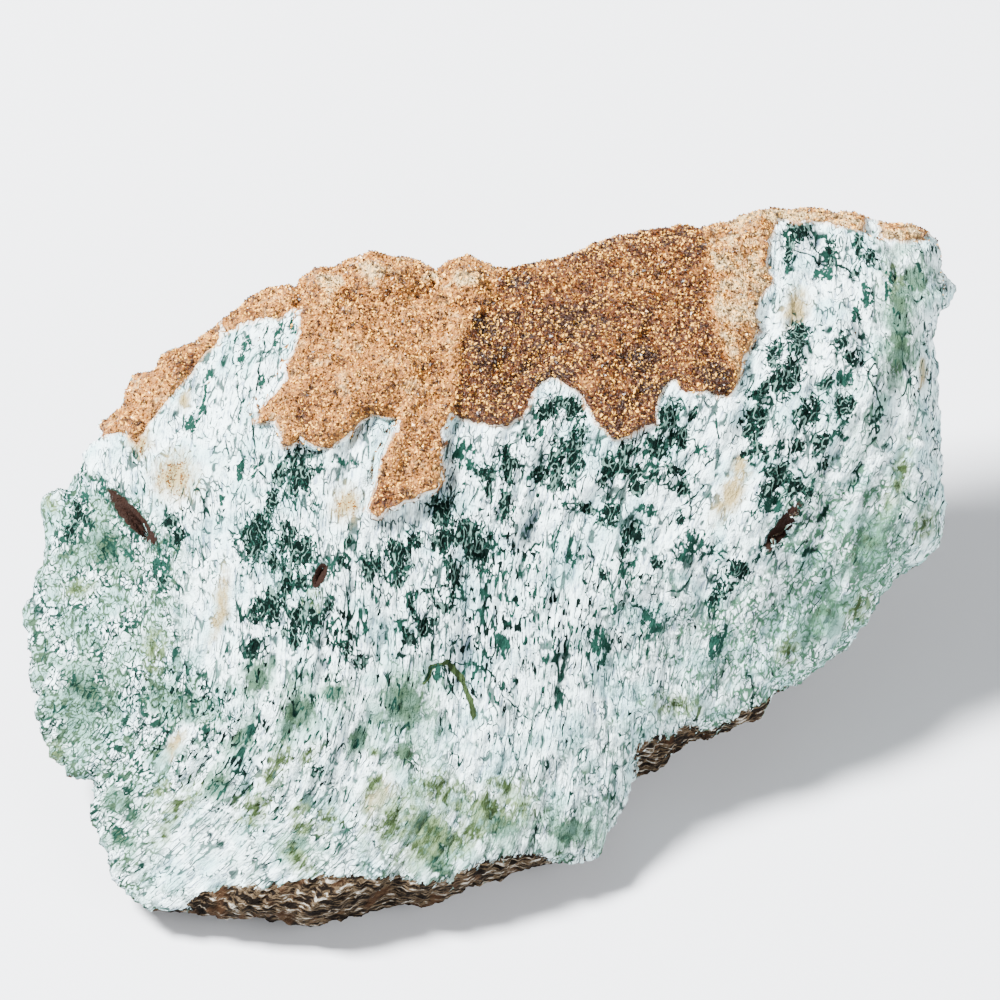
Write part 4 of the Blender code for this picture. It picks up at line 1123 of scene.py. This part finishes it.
class AGATE_OT_crystals(bpy.types.Operator):
    """Stand small crystals all over the rind"""

    bl_idname = "agate.crystals"
    bl_label = "Rind Crystals"

    def execute(self, context):
        settings = context.scene.agate_crystals
        stone = bpy.data.objects["broken_stone"]
        seeds = [crystal_seed(4, 0.9), crystal_seed(5, 0.8), crystal_seed(3, 1.0)]
        layer = link_piece("crystal_layer", stone.data.copy())
        grow = layer.modifiers.new("grow", "NODES")
        grow.node_group = crystal_tree(seeds, crystal_material(bpy.data.node_groups["Rind tint"]))
        set_inputs(grow, {"Crystal size": settings.size, "Crystals per area": settings.amount / MM**2,
                          "Seed": settings.seed})
        mesh = finished_mesh(layer, "rind_crystals")
        for used in (layer, *seeds):
            bpy.data.objects.remove(used, do_unlink=True)
        piece = link_piece("rind_crystals", mesh)
        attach(piece, BODY)
        return {"FINISHED"}


class AGATE_OT_stage(bpy.types.Operator):
    """Set up the floor, the lights and the camera"""

    bl_idname = "agate.stage"
    bl_label = "Stage"

    def execute(self, context):
        settings = context.scene.agate_stage
        add_floor(settings.floor)
        add_lights(settings)
        add_camera(settings)
        return {"FINISHED"}


def add_floor(width):
    """A plain pale floor."""
    bpy.ops.mesh.primitive_plane_add(size=width)
    floor = bpy.context.object
    floor.name = "floor"
    material, _, shader = new_material("pale_floor")
    shader.inputs["Base Color"].default_value = (*colour(*FLOOR_COLOUR), 1.0)
    shader.inputs["Roughness"].default_value = 0.9
    floor.data.materials.append(material)


def add_light(name, place, size, power):
    """A soft square light that faces the stone."""
    data = bpy.data.lights.new(name, "AREA")
    data.size = size
    data.energy = power
    light = bpy.data.objects.new(name, data)
    light.location = place
    light.rotation_euler = (-Vector(place)).to_track_quat("-Z", "Y").to_euler()
    bpy.context.scene.collection.objects.link(light)


def add_lights(settings):
    """A soft light from the upper left, a weaker one from the right, and a pale sky."""
    add_light("key", (-0.92, 0.10, 1.40), 0.4, settings.key)
    add_light("fill", (1.1, -0.9, 0.8), 1.2, settings.fill)
    world = bpy.data.worlds.new("studio")
    world.use_nodes = True
    sky = world.node_tree.nodes["Background"].inputs
    sky["Color"].default_value = (*SKY_COLOUR, 1.0)
    sky["Strength"].default_value = SKY_STRENGTH
    bpy.context.scene.world = world


def add_camera(settings):
    """Look at the broken face square on, from far off."""
    data = bpy.data.cameras.new("camera")
    data.sensor_width = 36.0
    data.lens = data.sensor_width * settings.distance / settings.view_width
    data.clip_end = 100.0
    camera = bpy.data.objects.new("camera", data)
    aim = Vector(CAMERA_AIM) * MM
    way = Vector(PLANE_WAY)
    camera.location = aim + way * settings.distance
    camera.rotation_euler = (-way).to_track_quat("-Z", "Y").to_euler()
    bpy.context.scene.collection.objects.link(camera)
    bpy.context.scene.camera = camera


class AGATE_PT_panel(bpy.types.Panel):
    """The steps that dress the stone"""

    bl_idname = "AGATE_PT_panel"
    bl_label = "Tree Agate"
    bl_space_type = "VIEW_3D"
    bl_region_type = "UI"
    bl_category = "Tree Agate"

    def draw(self, context):
        for operator, settings in (
            ("agate.stone", (context.scene.agate_shape, context.scene.agate_colours)),
            ("agate.crystals", (context.scene.agate_crystals,)),
            ("agate.stage", (context.scene.agate_stage,)),
        ):
            box = self.layout.box()
            box.operator(operator)
            for group in settings:
                for name in group.__annotations__:
                    box.prop(group, name)


CLASSES = (
    AgateShape, AgateColours, AgateCrystals, AgateStage,
    AGATE_OT_stone, AGATE_OT_crystals, AGATE_OT_stage, AGATE_PT_panel,
)


def register():
    for item in CLASSES:
        bpy.utils.register_class(item)
    bpy.types.Scene.agate_shape = PointerProperty(type=AgateShape)
    bpy.types.Scene.agate_colours = PointerProperty(type=AgateColours)
    bpy.types.Scene.agate_crystals = PointerProperty(type=AgateCrystals)
    bpy.types.Scene.agate_stage = PointerProperty(type=AgateStage)


def unregister():
    for name in ("agate_shape", "agate_colours", "agate_crystals", "agate_stage"):
        delattr(bpy.types.Scene, name)
    for item in reversed(CLASSES):
        bpy.utils.unregister_class(item)


def main():
    """Dress the stone and set up the stage."""
    register()
    bpy.ops.agate.stone()
    bpy.ops.agate.crystals()
    bpy.ops.agate.stage()


if __name__ == "__main__":
    main()
